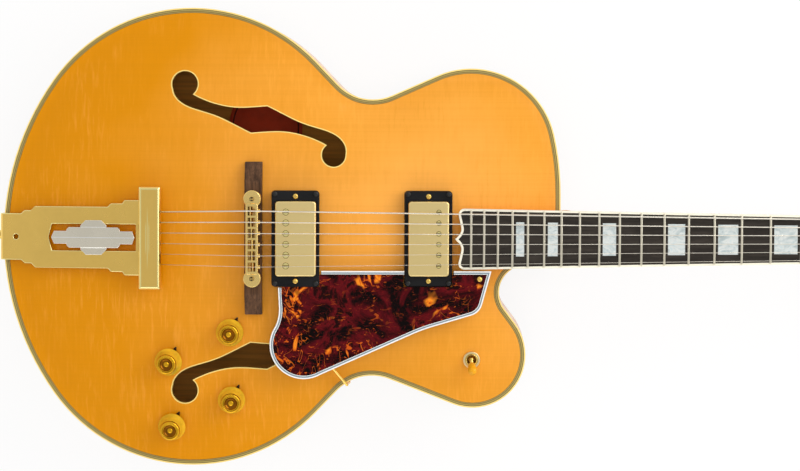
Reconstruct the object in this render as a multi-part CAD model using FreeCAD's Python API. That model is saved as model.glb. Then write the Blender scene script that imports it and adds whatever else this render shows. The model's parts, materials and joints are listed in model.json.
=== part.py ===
import FreeCAD, Part
import math
import os

# Archtop guitar, lying on its back.
# +X runs from the tail to the headstock, +Y to the bass side, +Z out of the top.
# Bench frame of the sizes below: X = 0 at the neck end of the body, Y = 0 on the centreline,
# Z = 0 at the top edge of the rim. Millimetres and degrees.

# Body outline, as tangent arcs
BODY_LENGTH = 526.0
LOWER_BOUT = 431.8
WAIST = 260.5
UPPER_BOUT = 319.0
TAIL_R = 255.0
TAIL_JOIN_ANGLE = 35.6
WAIST_R = 45.0
FLANK_LENGTH = 30.0
UPPER_R = 80.0
SHOULDER_R = 250.0
SHOULDER_JOIN_ANGLE = 12.9
HORN_R = 50.0
HORN_ANGLE = 49.3
CUTAWAY_R = 26.0
CUTAWAY_X = -31.5
CUTAWAY_FLANK = 17.0
TONGUE_HALF = 25.0

# Body depth, plates and edges
RIM_DEPTH = 86.0
RIM_WALL = 2.5
TOP_ARCH = 19.0
BACK_ARCH = 15.0
PLATE_T = 6.5
EDGE_FLAT = 11.0
ARCH_FULLNESS = 0.7
ARCH_RECURVE = 0.06
ARCH_STEP = 5.0
BINDING_W = 4.8
LINING_W = 8.0
LINING_H = 16.0
LINING_GAP = 0.5
NECK_BLOCK_L = 60.0
NECK_BLOCK_W = 84.0
TAIL_BLOCK_L = 32.0
TAIL_BLOCK_W = 110.0
TONE_BAR_W = 8.0
TONE_BAR_H = 12.0
TONE_BAR_Y = 58.0
TONE_BAR_FROM = 96.0 - BODY_LENGTH
TONE_BAR_TO = -110.0

# F-holes
F_HOLE_X = -283.0
F_HOLE_Y = 111.0
F_LOBE_X = 70.0
F_LOBE_Y = 33.0
F_LOWER_LOBE_R = 12.2
F_UPPER_LOBE_R = 11.1
F_BINDING_W = 1.0
F_BINDING_T = 4.0
F_CURVE_STEPS = 8
F_NICK_LEAN = 0.22

# Neck and fingerboard
SCALE_LENGTH = 647.7
BRIDGE_X = -287.3
NECK_PITCH = 4.4
BOARD_TOP_Z = 20.0
BOARD_T = 6.5
BOARD_CAMBER_R = 305.0
NUT_WIDTH = 41.3
BOARD_END_WIDTH = 57.0
BOARD_END_PAST_FRET = 11.5
BOARD_TIP = 3.2
BOARD_TIP_MITRE = 1.45
BOARD_HOLLOW_R = 9.0
BOARD_HOLLOW_Y = 9.6
BOARD_HOLLOW_DIP = 2.6
BOARD_CORNER_R = 5.5
BOARD_BINDING_W = 2.0
FRET_COUNT = 20
FRET_W = 2.1
FRET_H = 1.1
INLAY_FRETS = (1, 3, 5, 7, 9, 12, 15, 17)
INLAY_T = 1.6
INLAY_TO_FRET = 3.4
INLAY_SHARE_W = 0.58
NUT_L = 5.0
NUT_ABOVE_FRET = 1.8
NUT_STRING_LIFT = 0.45
SHAFT_DEPTH_NUT = 14.0
SHAFT_DEPTH_BODY = 18.0
HEEL_OUT = 46.0
HEEL_CAP_OUT = 15.0
HEEL_CAP_HALF = 16.0
TENON_L = 20.0
TENON_HALF = 14.0
TENON_H = 60.0
TRUSS_R = 2.4
TRUSS_DEPTH = 3.0
TRUSS_NUT_R = 3.2
TRUSS_NUT_L = 8.0
TRUSS_NUT_BORE = 4.2
TRUSS_COVER_T = 2.4

# Headstock and tuning machines
HEAD_TILT = 16.0
HEAD_LENGTH = 186.0
HEAD_T = 14.5
HEAD_NECK_HALF = 21.5
HEAD_HALF = 42.0
HEAD_CORNER_R = 8.0
HEAD_CROWN_R = 120.0
HEAD_FLARE_R = 26.0
HEAD_FLARE_X = 10.0
VENEER_T = 1.6
VENEER_BELOW_BOARD = 4.4
TUNER_FIRST = 42.0
TUNER_PITCH = 42.0
TUNER_HALF_FIRST = 21.0
TUNER_HALF_LAST = 25.0
TUNER_TEETH = 14
POST_R = 3.0
POST_ABOVE = 19.0
BUSHING_R = 4.6
BUSHING_FLANGE_R = 6.2
BUSHING_FLANGE_T = 1.2
HOUSING_L = 21.0
HOUSING_W = 14.0
HOUSING_H = 10.5
HOUSING_WALL = 1.2
WORM_R = 2.6
KEY_SHAFT_R = 2.2
KEY_EDGE_GAP = 5.0
KEY_L = 17.0
KEY_W = 21.0
KEY_T = 7.0
KEY_DROP = 6.0

# Strings, from the bass side to the treble side
STRING_DIAMETERS = (1.32, 1.07, 0.81, 0.61, 0.46, 0.38)
STRING_Z_BRIDGE = 46.0
STRING_PITCH_BRIDGE = 10.4
STRING_PITCH_NUT = 7.0
STRING_PITCH_TAIL = 9.7
STRING_BEND_R = 6.0
WIND_TURNS = 2.5
WIND_SELF_GAP = 0.55
WIND_CLEAR = 0.3

# Bridge
BASE_L = 143.0
BASE_W = 16.0
BASE_TOP_Z = 29.0
BASE_END_H = 6.0
BASE_TOP_L = 104.0
BASE_CORNER_R = 0.8
STUD_SPACING = 74.0
STUD_R = 2.0
STUD_TOP_Z = 45.5
WHEEL_R = 8.25
WHEEL_T = 2.6
WHEEL_LIFT = 2.6
BEAM_L = 66.0
LUG_R = 8.1
LUG_H = 6.4
BEAM_W = 11.6
BEAM_H = 9.2
BEAM_WALL = 2.2
BEAM_FLOOR = 1.8
SADDLE_L = 3.6
SADDLE_W = 8.2
SADDLE_TOP_L = 0.8
SADDLE_CLEAR = 0.1
SADDLE_SCREW_R = 1.1
SADDLE_HEAD_R = 2.0
SADDLE_HEAD_L = 1.6
SADDLE_STAGGER = (-1.3, -0.7, -0.1, 0.5, 0.3, 1.1)

# Tailpiece
TAIL_PLATE_T = 2.2
TAIL_PLATE_W = 58.0
TAIL_NARROW_W = 44.0
TAIL_STEP_W = 6.3
CROSSBAR_X = 142.6 - BODY_LENGTH
CROSSBAR_L = 20.6
CROSSBAR_W = 96.0
CROSSBAR_H = 8.0
CROSSBAR_BEVEL = 2.0
PLATE_RISE_Z = 26.5
PLATE_KNEE_X = 38.0 - BODY_LENGTH
PLATE_KNEE_Z = 13.0
PLATE_EDGE_Z = 2.6
FLANGE_DEPTH = 62.0
FLANGE_GAP = 0.3
SLOT_W = 24.6
SLOT_FROM = 48.5 - BODY_LENGTH
SLOT_TO = 129.0 - BODY_LENGTH
SLOT_POINT = 3.0
ADJUST_HOLE_X = 13.0 - BODY_LENGTH
ADJUST_HOLE_R = 2.3
INSERT_BAR_L = 80.6
INSERT_BAR_W = 12.0
INSERT_STEP_L = 51.7
INSERT_STEP_W = 19.2
INSERT_TAB_L = 25.3
INSERT_TAB_W = 32.4
INSERT_TAB_H = 1.4
INSERT_EAVE = 2.2
INSERT_RIDGE = 3.8
INSERT_POINT = 2.4
INSERT_STEP_CUT = 2.2
INSERT_TAB_CUT = 5.0
STRAP_BUTTON_R = 7.0
STRAP_BUTTON_L = 15.0
STRAP_BUTTON_Z = -43.0

# Pickups
PICKUP_BRIDGE_X = -246.9
PICKUP_NECK_X = -123.2
PICKUP_STRING_GAP = 5.2
COVER_L = 38.0
COVER_W = 70.0
COVER_H = 17.0
COVER_WALL = 0.8
COVER_CORNER_R = 3.0
POLE_R = 2.4
POLE_PITCH = 10.0
POLE_OFFSET = 9.3
POLE_PROUD = 0.7
RING_L = 44.6
RING_W = 89.6
RING_CORNER_R = 3.5
RING_BELOW_COVER = 4.5
RING_CLEAR = 0.5
RING_SIDE = 1.3
RING_ROOF = 3.0
OPENING_CLEAR = 1.2
RING_LEG_HALF = 7.5
HEIGHT_SCREW_SPACING = 79.0
RING_SCREW_INSET = 3.2
SCREW_R = 1.2
SCREW_HEAD_R = 2.4
SCREW_HEAD_H = 1.6

# Pickguard
GUARD_T = 3.6
GUARD_Z_NECK = 17.5
GUARD_PITCH = 3.3
GUARD_NECK_X = -65.0
GUARD_EDGE_Y = -30.0
GUARD_BINDING_W = 3.4
GUARD_CLEAR = 0.9
GUARD_TAIL_X = -264.0
GUARD_SCREW_X = -76.0
GUARD_SCREW_Y = -37.5
BRACKET_ROD_R = 1.3
BRACKET_PAD = 9.0

# Controls
KNOB_PLACES = (("neck_volume", 216.2 - BODY_LENGTH, 127.4 - LOWER_BOUT / 2),
               ("neck_tone", 158.3 - BODY_LENGTH, 99.2 - LOWER_BOUT / 2),
               ("bridge_volume", 217.3 - BODY_LENGTH, 63.6 - LOWER_BOUT / 2),
               ("bridge_tone", 160.8 - BODY_LENGTH, 37.7 - LOWER_BOUT / 2))
KNOB_R = 13.0
KNOB_H = 16.0
KNOB_LIFT = 3.6
POT_R = 12.0
POT_H = 9.0
POT_BUSHING_R = 4.7
POT_SHAFT_R = 3.0
POT_NUT_R = 6.4
POT_NUT_T = 2.2
POINTER_REACH = 15.6
POINTER_T = 0.8
POINTER_ANGLE = 63.0
SWITCH_X = -83.1
SWITCH_Y = -114.4
SWITCH_NUT_R = 8.0
SWITCH_NUT_T = 2.6
SWITCH_BODY_L = 34.0
SWITCH_BODY_W = 18.0
SWITCH_BODY_H = 26.0
SWITCH_BUSHING_R = 5.6
LEVER_R = 1.7
LEVER_L = 13.0
LEVER_SWING = 23.0
PIVOT_R = 1.0
PIVOT_HALF = 4.5
PIVOT_BALL_R = 3.3
TIP_R = 4.0
TIP_L = 14.0
JACK_ANGLE = 222.0
JACK_BORE_R = 3.25
JACK_SLEEVE_R = 4.7
JACK_NUT_R = 8.0
JACK_NUT_T = 3.0
JACK_IN = 20.0

# Clearances
RUN = 0.05
SEAT = 0.05
SLIDE = 0.15

V = FreeCAD.Vector
Z_AXIS = V(0, 0, 1)


def turn_about_y(point, angle):
    """Placement of a local frame whose X leans down by the angle."""
    return FreeCAD.Placement(point, FreeCAD.Rotation(V(0, 1, 0), angle))


def tangent_loop(circles):
    """Closed flat wire of arcs joined by their common tangents. A circle is (x, y, radius, turn)."""
    joins = []
    for index, (x1, y1, r1, turn1) in enumerate(circles):
        x2, y2, r2, turn2 = circles[(index + 1) % len(circles)]
        span = math.hypot(x2 - x1, y2 - y1)
        lean = (turn2 * r2 - turn1 * r1) / span
        touching = abs(lean) > 1 - 1e-9
        heading = math.atan2(y2 - y1, x2 - x1) - math.asin(max(-1.0, min(1.0, lean)))
        side = V(-math.sin(heading), math.cos(heading), 0)
        leave = V(x1, y1, 0) - side * (turn1 * r1)
        enter = leave if touching else V(x2, y2, 0) - side * (turn2 * r2)
        joins.append((leave, enter))
    edges = []
    for index, (x, y, radius, turn) in enumerate(circles):
        enter = joins[index - 1][1]
        leave, following = joins[index]
        if radius > 0:
            first = math.atan2(enter.y - y, enter.x - x)
            last = math.atan2(leave.y - y, leave.x - x)
            middle = first + turn * (((last - first) * turn) % (2 * math.pi)) / 2
            point = V(x + radius * math.cos(middle), y + radius * math.sin(middle), 0)
            edges.append(Part.Arc(enter, point, leave).toShape())
        if leave.distanceToPoint(following) > 1e-5:
            edges.append(Part.makeLine(leave, following))
    return Part.Wire(edges)


def placed(shape, frame):
    """The shape moved from a local frame to the bench frame."""
    shape.Placement = frame.multiply(shape.Placement)
    return shape


def prism(wire, low, high):
    """Upright solid over a flat wire, between two heights."""
    solid = Part.Face(wire).extrude(V(0, 0, high - low))
    solid.translate(V(0, 0, low))
    return solid


def box(x0, x1, y0, y1, z0, z1):
    """Box between two corners."""
    return Part.makeBox(x1 - x0, y1 - y0, z1 - z0, V(x0, y0, z0))


def rounded_box(length, width, low, high, radius):
    """Upright box centred on the origin, with rounded vertical edges."""
    x = length / 2 - radius
    y = width / 2 - radius
    corners = [(-x, -y, radius, 1), (x, -y, radius, 1), (x, y, radius, 1), (-x, y, radius, 1)]
    return prism(tangent_loop(corners), low, high)


def polygon(points):
    """Closed flat wire through points."""
    return Part.makePolygon([V(x, y, 0) for x, y in points + [points[0]]])


def turned(profile):
    """Solid turned about Z from a closed (radius, height) profile."""
    wire = Part.makePolygon([V(r, 0, z) for r, z in profile + [profile[0]]])
    return Part.Face(wire).revolve(V(0, 0, 0), Z_AXIS, 360)


def rod(radius, start, end):
    """Round bar between two points."""
    return Part.makeCylinder(radius, start.distanceToPoint(end), start, end - start)


def mirrored_y(shape):
    """Copy on the other side of the centreline."""
    return shape.mirror(V(0, 0, 0), V(0, 1, 0))


def body_circles(inset=0.0):
    """Arcs of the body outline, drawn in by an inset, counter-clockwise from the tail."""
    tail_sin = math.sin(math.radians(TAIL_JOIN_ANGLE))
    tail_cos = math.cos(math.radians(TAIL_JOIN_ANGLE))
    lower_r = (LOWER_BOUT / 2 - TAIL_R * tail_sin) / (1 - tail_sin)
    lower_x = TAIL_R - BODY_LENGTH - (TAIL_R - lower_r) * tail_cos
    lower_y = (TAIL_R - lower_r) * tail_sin
    waist_y = WAIST / 2 + WAIST_R
    waist_x = lower_x + math.sqrt((lower_r + WAIST_R) ** 2 + FLANK_LENGTH ** 2 - (waist_y - lower_y) ** 2)
    shoulder_step = SHOULDER_R - UPPER_R
    upper_x = -SHOULDER_R + shoulder_step * math.cos(math.radians(SHOULDER_JOIN_ANGLE))
    upper_y = UPPER_BOUT / 2 - UPPER_R
    shoulder_y = upper_y - shoulder_step * math.sin(math.radians(SHOULDER_JOIN_ANGLE))
    cutaway_y = -TONGUE_HALF - CUTAWAY_R
    horn_span = math.hypot(HORN_R + CUTAWAY_R, CUTAWAY_FLANK)
    horn_x = CUTAWAY_X - horn_span * math.cos(math.radians(HORN_ANGLE))
    horn_y = cutaway_y - horn_span * math.sin(math.radians(HORN_ANGLE))
    arcs = [(TAIL_R - BODY_LENGTH, 0.0, TAIL_R, 1), (lower_x, -lower_y, lower_r, 1),
            (waist_x, -waist_y, WAIST_R, -1), (horn_x, horn_y, HORN_R, 1),
            (CUTAWAY_X, cutaway_y, CUTAWAY_R, -1),
            (-SHOULDER_R, shoulder_y, SHOULDER_R, 1), (upper_x, upper_y, UPPER_R, 1),
            (waist_x, waist_y, WAIST_R, -1), (lower_x, lower_y, lower_r, 1)]
    circles = [(x, y, radius - turn * inset, turn) for x, y, radius, turn in arcs]
    circles.insert(5, (-inset, inset - TONGUE_HALF, 0.0, 1))
    return circles


def body_wire(inset=0.0):
    """Outline of the body, drawn in by an inset."""
    return tangent_loop(body_circles(inset))


def inside(point_x, point_y, ring):
    """Whether a point lies within a ring of points."""
    within = False
    previous = ring[-1]
    for corner in ring:
        if (corner.y > point_y) != (previous.y > point_y):
            crossing = previous.x + (point_y - previous.y) * (corner.x - previous.x) / (corner.y - previous.y)
            if point_x < crossing:
                within = not within
        previous = corner
    return within


class Arch:
    """Carved arch: a membrane blown up from the body outline, eased into a flat edge."""

    SWEEPS = 220
    OVER_RELAX = 1.9

    def __init__(self):
        self.x0 = -BODY_LENGTH - 4 * ARCH_STEP
        self.y0 = -LOWER_BOUT / 2 - 4 * ARCH_STEP
        columns = 2 * int((BODY_LENGTH / ARCH_STEP + 8) / 2) + 3
        rows = 2 * int((LOWER_BOUT / ARCH_STEP + 8) / 2) + 3
        ring = body_wire(EDGE_FLAT).discretize(Number=500)
        free = [(i, j) for i in range(1, columns - 1) for j in range(1, rows - 1)
                if inside(self.x0 + i * ARCH_STEP, self.y0 + j * ARCH_STEP, ring)]
        lift = [[0.0] * rows for _ in range(columns)]
        for _ in range(self.SWEEPS):
            for i, j in free:
                mean = (lift[i - 1][j] + lift[i + 1][j] + lift[i][j - 1] + lift[i][j + 1] + 1.0) / 4
                lift[i][j] += self.OVER_RELAX * (mean - lift[i][j])
        most = max(max(column) for column in lift)
        self.heights = [[self.ease(value / most) for value in column] for column in lift]

    @staticmethod
    def ease(share):
        """Arch height as a share, full in the middle and hollow towards the edge."""
        share = max(share, 0.0)
        return share ** ARCH_FULLNESS * share / (share + ARCH_RECURVE) * (1 + ARCH_RECURVE)

    def at(self, x, y):
        """Height share of the arch at a place."""
        across = (x - self.x0) / ARCH_STEP
        up = (y - self.y0) / ARCH_STEP
        i = int(across)
        j = int(up)
        s = across - i
        t = up - j
        near = self.heights[i][j] * (1 - t) + self.heights[i][j + 1] * t
        far = self.heights[i + 1][j] * (1 - t) + self.heights[i + 1][j + 1] * t
        return near * (1 - s) + far * s

    def top_z(self, x, y):
        """Height of the top plate's outer face."""
        return TOP_ARCH * self.at(x, y)

    def top_normal(self, x, y):
        """Outward direction of the top plate at a place."""
        reach = ARCH_STEP
        slope_x = (self.top_z(x + reach, y) - self.top_z(x - reach, y)) / (2 * reach)
        slope_y = (self.top_z(x, y + reach) - self.top_z(x, y - reach)) / (2 * reach)
        return V(-slope_x, -slope_y, 1).normalize()

    def face(self, height, base):
        """Smooth face of the arch, scaled to a height and lifted to a base level."""
        rows = [[base + height * share for share in column[::2]] for column in self.heights[::2]]
        surface = Part.BSplineSurface()
        surface.interpolate(rows, self.x0, 2 * ARCH_STEP, self.y0, 2 * ARCH_STEP)
        return surface.toShape()


def seat_frame(arch, x, y):
    """Local frame on the top plate, with Z square to its surface."""
    normal = arch.top_normal(x, y)
    return FreeCAD.Placement(V(x, y, arch.top_z(x, y)), FreeCAD.Rotation(Z_AXIS, normal))


def neck_frame():
    """Frame of the fingerboard: origin on its top at the body's edge, X towards the nut."""
    return turn_about_y(V(0, 0, BOARD_TOP_Z), NECK_PITCH)


def along_neck(x):
    """Length along the fingerboard for a distance along the body."""
    return x / math.cos(math.radians(NECK_PITCH))


def nut_place():
    """Fingerboard length from the body's edge to the nut's front."""
    return along_neck(BRIDGE_X) + SCALE_LENGTH


def fret_place(number):
    """Fingerboard length from the body's edge to a fret."""
    return nut_place() - SCALE_LENGTH * (1 - 2 ** (-number / 12))


def board_end():
    """Fingerboard length at its shoulders, past the last fret."""
    return fret_place(FRET_COUNT) - BOARD_END_PAST_FRET


def board_half(place):
    """Half the width of the fingerboard at a length."""
    share = (nut_place() - place) / (nut_place() - board_end())
    return (NUT_WIDTH + (BOARD_END_WIDTH - NUT_WIDTH) * share) / 2


def head_frame():
    """Frame of the headstock: origin on its face at the back of the nut, X towards its tip."""
    start = neck_frame().multVec(V(nut_place() + NUT_L, 0, -VENEER_BELOW_BOARD))
    return turn_about_y(start, NECK_PITCH + HEAD_TILT)


def tuner_places():
    """Post centres on the headstock, bass side from the nut outwards and back along the treble side."""
    spread = TUNER_HALF_LAST - TUNER_HALF_FIRST
    bass = [(TUNER_FIRST + n * TUNER_PITCH, TUNER_HALF_FIRST + n * spread / 2) for n in range(3)]
    return bass + [(x, -y) for x, y in reversed(bass)]


def string_offset(index, pitch):
    """Sideways place of a string for a spacing, bass side first."""
    return (2.5 - index) * pitch


def camber_drop(y):
    """How far the cambered string plane falls beside the centreline."""
    return y * y / (2 * BOARD_CAMBER_R)


def saddle_point(index):
    """Where a string crosses its saddle."""
    y = string_offset(index, STRING_PITCH_BRIDGE)
    return V(BRIDGE_X + SADDLE_STAGGER[index], y, STRING_Z_BRIDGE - camber_drop(y))


def nut_point(index):
    """Where a string crosses the nut."""
    y = string_offset(index, STRING_PITCH_NUT)
    lift = FRET_H + NUT_STRING_LIFT + STRING_DIAMETERS[index] / 2
    local = V(nut_place() + NUT_L / 2, y, lift - camber_drop(y))
    return neck_frame().multVec(local)


def string_pitch_angle():
    """Fall of the strings from the bridge to the nut."""
    high = STRING_Z_BRIDGE
    low = nut_point(2).z
    return math.degrees(math.atan2(high - low, nut_point(2).x - BRIDGE_X))


def string_z(x):
    """Height of the middle strings over a place on the body."""
    return STRING_Z_BRIDGE - (x - BRIDGE_X) * math.tan(math.radians(string_pitch_angle()))


def pickup_frame(x):
    """Frame of a pickup: origin on top of its cover, Z square to the strings."""
    return turn_about_y(V(x, 0, string_z(x) - PICKUP_STRING_GAP), string_pitch_angle())


def guard_frame():
    """Frame of the pickguard: its underside, falling towards the neck."""
    return turn_about_y(V(GUARD_NECK_X, 0, GUARD_Z_NECK), GUARD_PITCH)


def jack_direction():
    """Outward direction of the output jack on the lower bout."""
    angle = math.radians(JACK_ANGLE)
    return V(math.cos(angle), math.sin(angle), 0)


def jack_wall_point():
    """Outer face of the rim where the output jack sits."""
    x, y, radius, turn = body_circles()[1]
    return V(x, y, -RIM_DEPTH / 2) + jack_direction() * radius


def crossbar_low():
    """Underside of the crossbar, on top of the plate."""
    return PLATE_RISE_Z + TAIL_PLATE_T


def origin_point():
    """Middle of the object's box at its lowest level, in the bench frame."""
    tail = -BODY_LENGTH - FLANGE_GAP - TAIL_PLATE_T - STRAP_BUTTON_L
    head = head_frame().multVec(V(HEAD_LENGTH, 0, 0)).x
    return V((tail + head) / 2, 0, -RIM_DEPTH - BACK_ARCH)


def offset_curve(points, corner, side, margin):
    """Smooth curve beside an interpolated one, starting from a given corner."""
    curve = Part.BSplineCurve()
    curve.interpolate(points)
    if margin == 0:
        return curve.toShape()
    first = curve.FirstParameter
    last = curve.LastParameter
    beside = [corner]
    for step in range(1, F_CURVE_STEPS + 1):
        place = first + (last - first) * step / F_CURVE_STEPS
        way = curve.tangent(place)[0]
        beside.append(curve.value(place) + V(-way.y, way.x, 0) * (side * margin))
    grown = Part.BSplineCurve()
    grown.interpolate(beside)
    return grown.toShape()


def f_hole_prism(margin):
    """Bass-side f-hole grown by a margin: two lobes and a stem that is the same turned half round."""
    nick = V(7.5, 12.4, 0)
    upper_side = [nick, V(22.6, 4.8, 0), V(41.5, -4.0, 0), V(58.0, -9.1, 0), V(70.6, -14.1, 0),
                  V(78.1, -20.5, 0), V(F_LOBE_X + F_UPPER_LOBE_R, -F_LOBE_Y, 0)]
    lower_side = [nick, V(-5.2, 11.4, 0), V(-21.7, 11.0, 0), V(-38.1, 13.6, 0), V(-53.2, 18.7, 0),
                  V(-66.0, 25.3, 0)]
    corner = nick + V(F_NICK_LEAN, 1, 0) * margin
    half = [offset_curve(upper_side, corner, 1, margin), offset_curve(lower_side, corner, -1, margin)]
    other = [edge.rotated(V(0, 0, 0), Z_AXIS, 180) for edge in half]
    ends = [[vertex.Point for vertex in edge.Vertexes][-1] for edge in half]
    closing = [Part.makeLine(ends[0], ends[1] * -1), Part.makeLine(ends[0] * -1, ends[1])]
    stem = prism(Part.Wire(Part.__sortEdges__(half + other + closing)), -TOP_ARCH, 2 * TOP_ARCH)
    lobes = []
    for x, y, radius in ((-F_LOBE_X, F_LOBE_Y, F_LOWER_LOBE_R), (F_LOBE_X, -F_LOBE_Y, F_UPPER_LOBE_R)):
        lobes.append(rod(radius + margin, V(x, y, -TOP_ARCH), V(x, y, 2 * TOP_ARCH)))
    hole = stem.fuse(lobes).removeSplitter()
    hole.translate(V(F_HOLE_X, F_HOLE_Y, 0))
    return hole


def f_hole_prisms(margin):
    """Both f-holes as upright solids, grown by a margin."""
    bass = f_hole_prism(margin)
    return [bass, mirrored_y(bass)]


def pickup_opening(x):
    """Cut through the top plate for one pickup and its legs, square to the strings."""
    half_l = COVER_L / 2 + OPENING_CLEAR
    half_w = COVER_W / 2 + OPENING_CLEAR
    leg = RING_W / 2 - RING_SIDE
    cut = box(-half_l, half_l, -half_w, half_w, -80, 10)
    cut = cut.fuse(box(-RING_LEG_HALF, RING_LEG_HALF, -leg, leg, -80, 10))
    return placed(cut, pickup_frame(x))


def drill(arch, x, y, radius):
    """Hole square to the top plate."""
    frame = seat_frame(arch, x, y)
    return rod(radius, frame.multVec(V(0, 0, -25)), frame.multVec(V(0, 0, 25)))


def top_plate(arch):
    """Carved top with its f-holes, pickup openings and control holes."""
    plate = arch.face(TOP_ARCH, 0.0).extrude(V(0, 0, -PLATE_T))
    plate = plate.common(prism(body_wire(BINDING_W), -2 * PLATE_T, 2 * TOP_ARCH))
    cuts = f_hole_prisms(F_BINDING_W)
    cuts += [pickup_opening(PICKUP_BRIDGE_X), pickup_opening(PICKUP_NECK_X)]
    cuts += [drill(arch, x, y, POT_BUSHING_R + SLIDE) for _, x, y in KNOB_PLACES]
    cuts.append(drill(arch, SWITCH_X, SWITCH_Y, SWITCH_BUSHING_R + SLIDE))
    return plate.cut(cuts)


def f_hole_bindings(arch):
    """Light strips that line the f-holes, flush with the top."""
    skin = arch.face(TOP_ARCH, 0.0).extrude(V(0, 0, -F_BINDING_T))
    strips = []
    for grown, hole in zip(f_hole_prisms(F_BINDING_W), f_hole_prisms(0.0)):
        strips.append(skin.common(grown.cut(hole)))
    return Part.makeCompound([solid for strip in strips for solid in strip.Solids])


def back_plate(arch):
    """Carved back."""
    plate = arch.face(-BACK_ARCH, -RIM_DEPTH).extrude(V(0, 0, PLATE_T))
    return plate.common(prism(body_wire(BINDING_W), -RIM_DEPTH - 2 * BACK_ARCH, -RIM_DEPTH + 2 * PLATE_T))


def edge_ring(outer, inner, low, high):
    """Band that follows the body outline between two insets and two heights."""
    return prism(body_wire(outer), low, high).cut(prism(body_wire(inner), low - 1, high + 1))


def body_bindings():
    """Edge bindings of the top and of the back."""
    top = edge_ring(0.0, BINDING_W, -PLATE_T, 0.0)
    back = edge_ring(0.0, BINDING_W, -RIM_DEPTH, PLATE_T - RIM_DEPTH)
    return Part.makeCompound([top, back])


def lining_rings():
    """Glue strips inside the rim, under the top and on the back."""
    inner = RIM_WALL + LINING_W
    high = -PLATE_T - LINING_GAP
    low = PLATE_T + LINING_GAP - RIM_DEPTH
    top = edge_ring(RIM_WALL, inner, high - LINING_H, high)
    back = edge_ring(RIM_WALL, inner, low, low + LINING_H)
    return [top, back]


def tenon():
    """Tongue of the neck that sits in the neck block."""
    return box(-TENON_L, 0, -TENON_HALF, TENON_HALF, -PLATE_T - TENON_H, -PLATE_T)


def rim():
    """Bent sides, one on the bass side and one on the treble side, meeting on the centreline."""
    sides = edge_ring(0.0, RIM_WALL, PLATE_T - RIM_DEPTH, -PLATE_T)
    wall = jack_wall_point()
    reach = jack_direction() * JACK_IN
    sides = sides.cut([rod(JACK_SLEEVE_R + SLIDE, wall - reach, wall + reach), tenon()])
    bass = box(-BODY_LENGTH - RIM_WALL, RIM_WALL, 0, LOWER_BOUT, -RIM_DEPTH, 0)
    halves = [sides.common(bass), sides.common(mirrored_y(bass))]
    return Part.makeCompound([solid for half in halves for solid in half.Solids])


def end_blocks(arch):
    """Neck block and tail block between the plates."""
    cavity = prism(body_wire(RIM_WALL), -RIM_DEPTH - BACK_ARCH, TOP_ARCH)
    over = arch.face(TOP_ARCH, -PLATE_T).extrude(V(0, 0, 3 * TOP_ARCH))
    under = arch.face(-BACK_ARCH, PLATE_T - RIM_DEPTH).extrude(V(0, 0, -3 * BACK_ARCH))
    low = -RIM_DEPTH - BACK_ARCH
    neck = box(-NECK_BLOCK_L, 0, -NECK_BLOCK_W / 2, NECK_BLOCK_W / 2, low, TOP_ARCH)
    tail = box(-BODY_LENGTH, TAIL_BLOCK_L - BODY_LENGTH, -TAIL_BLOCK_W / 2, TAIL_BLOCK_W / 2, low, TOP_ARCH)
    taken = [body_bindings()] + lining_rings()
    blocks = [block.common(cavity).cut(over).cut(under).cut(taken) for block in (neck, tail)]
    neck_solid = max(blocks[0].cut(tenon()).Solids, key=lambda solid: solid.Volume)
    tail_solid = max(blocks[1].Solids, key=lambda solid: solid.Volume)
    return Part.makeCompound([neck_solid, tail_solid])


def linings_and_bars(arch):
    """Lining strips along the rim's two edges and the two bars glued along the underside of the top."""
    layer = arch.face(TOP_ARCH, -PLATE_T).extrude(V(0, 0, -TONE_BAR_H))
    strips = [ring.cut(tenon()) for ring in lining_rings()]
    for side in (1, -1):
        y = side * TONE_BAR_Y
        bar = box(TONE_BAR_FROM, TONE_BAR_TO, y - TONE_BAR_W / 2, y + TONE_BAR_W / 2, -RIM_DEPTH, RIM_DEPTH)
        strips.append(layer.common(bar))
    return Part.makeCompound([solid for strip in strips for solid in strip.Solids])


def board_wire(inset):
    """Plan of the fingerboard with its bracket-shaped end, drawn in by an inset."""
    end = board_end()
    nut = nut_place()
    corner_x = end + BOARD_CORNER_R
    corner_y = board_half(corner_x) - BOARD_CORNER_R
    nut_half = NUT_WIDTH / 2 - inset
    hollow_x = end + BOARD_HOLLOW_DIP - BOARD_HOLLOW_R
    tip = end - BOARD_TIP + inset * BOARD_TIP_MITRE
    round_r = BOARD_CORNER_R - inset
    hollow_r = BOARD_HOLLOW_R + inset
    bass = [(nut, nut_half, 0.0, 1), (corner_x, corner_y, round_r, 1),
            (hollow_x, BOARD_HOLLOW_Y, hollow_r, -1)]
    treble = [(x, -y, radius, turn) for x, y, radius, turn in reversed(bass)]
    return tangent_loop(bass + [(tip, 0.0, 0.0, 1)] + treble)


def camber(radius, low_length, high_length):
    """Round bar along the fingerboard that gives it its camber."""
    start = V(low_length, 0, -BOARD_CAMBER_R)
    return Part.makeCylinder(radius, high_length - low_length, start, V(1, 0, 0))


def board_layer(wire, low):
    """Slab of the fingerboard over a plan, with the cambered top."""
    slab = prism(wire, low, 2.0)
    return slab.common(camber(BOARD_CAMBER_R, board_end() - 20, nut_place() + 20))


def inlay_shapes():
    """Pearl blocks between the frets, flush with the cambered top."""
    blocks = []
    for number in INLAY_FRETS:
        low = fret_place(number) + INLAY_TO_FRET
        high = fret_place(number - 1) - INLAY_TO_FRET
        half = board_half((low + high) / 2) * INLAY_SHARE_W
        plan = polygon([(low, -half), (high, -half), (high, half), (low, half)])
        blocks.append(board_layer(plan, -INLAY_T - camber_drop(half)))
    return blocks


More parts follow.
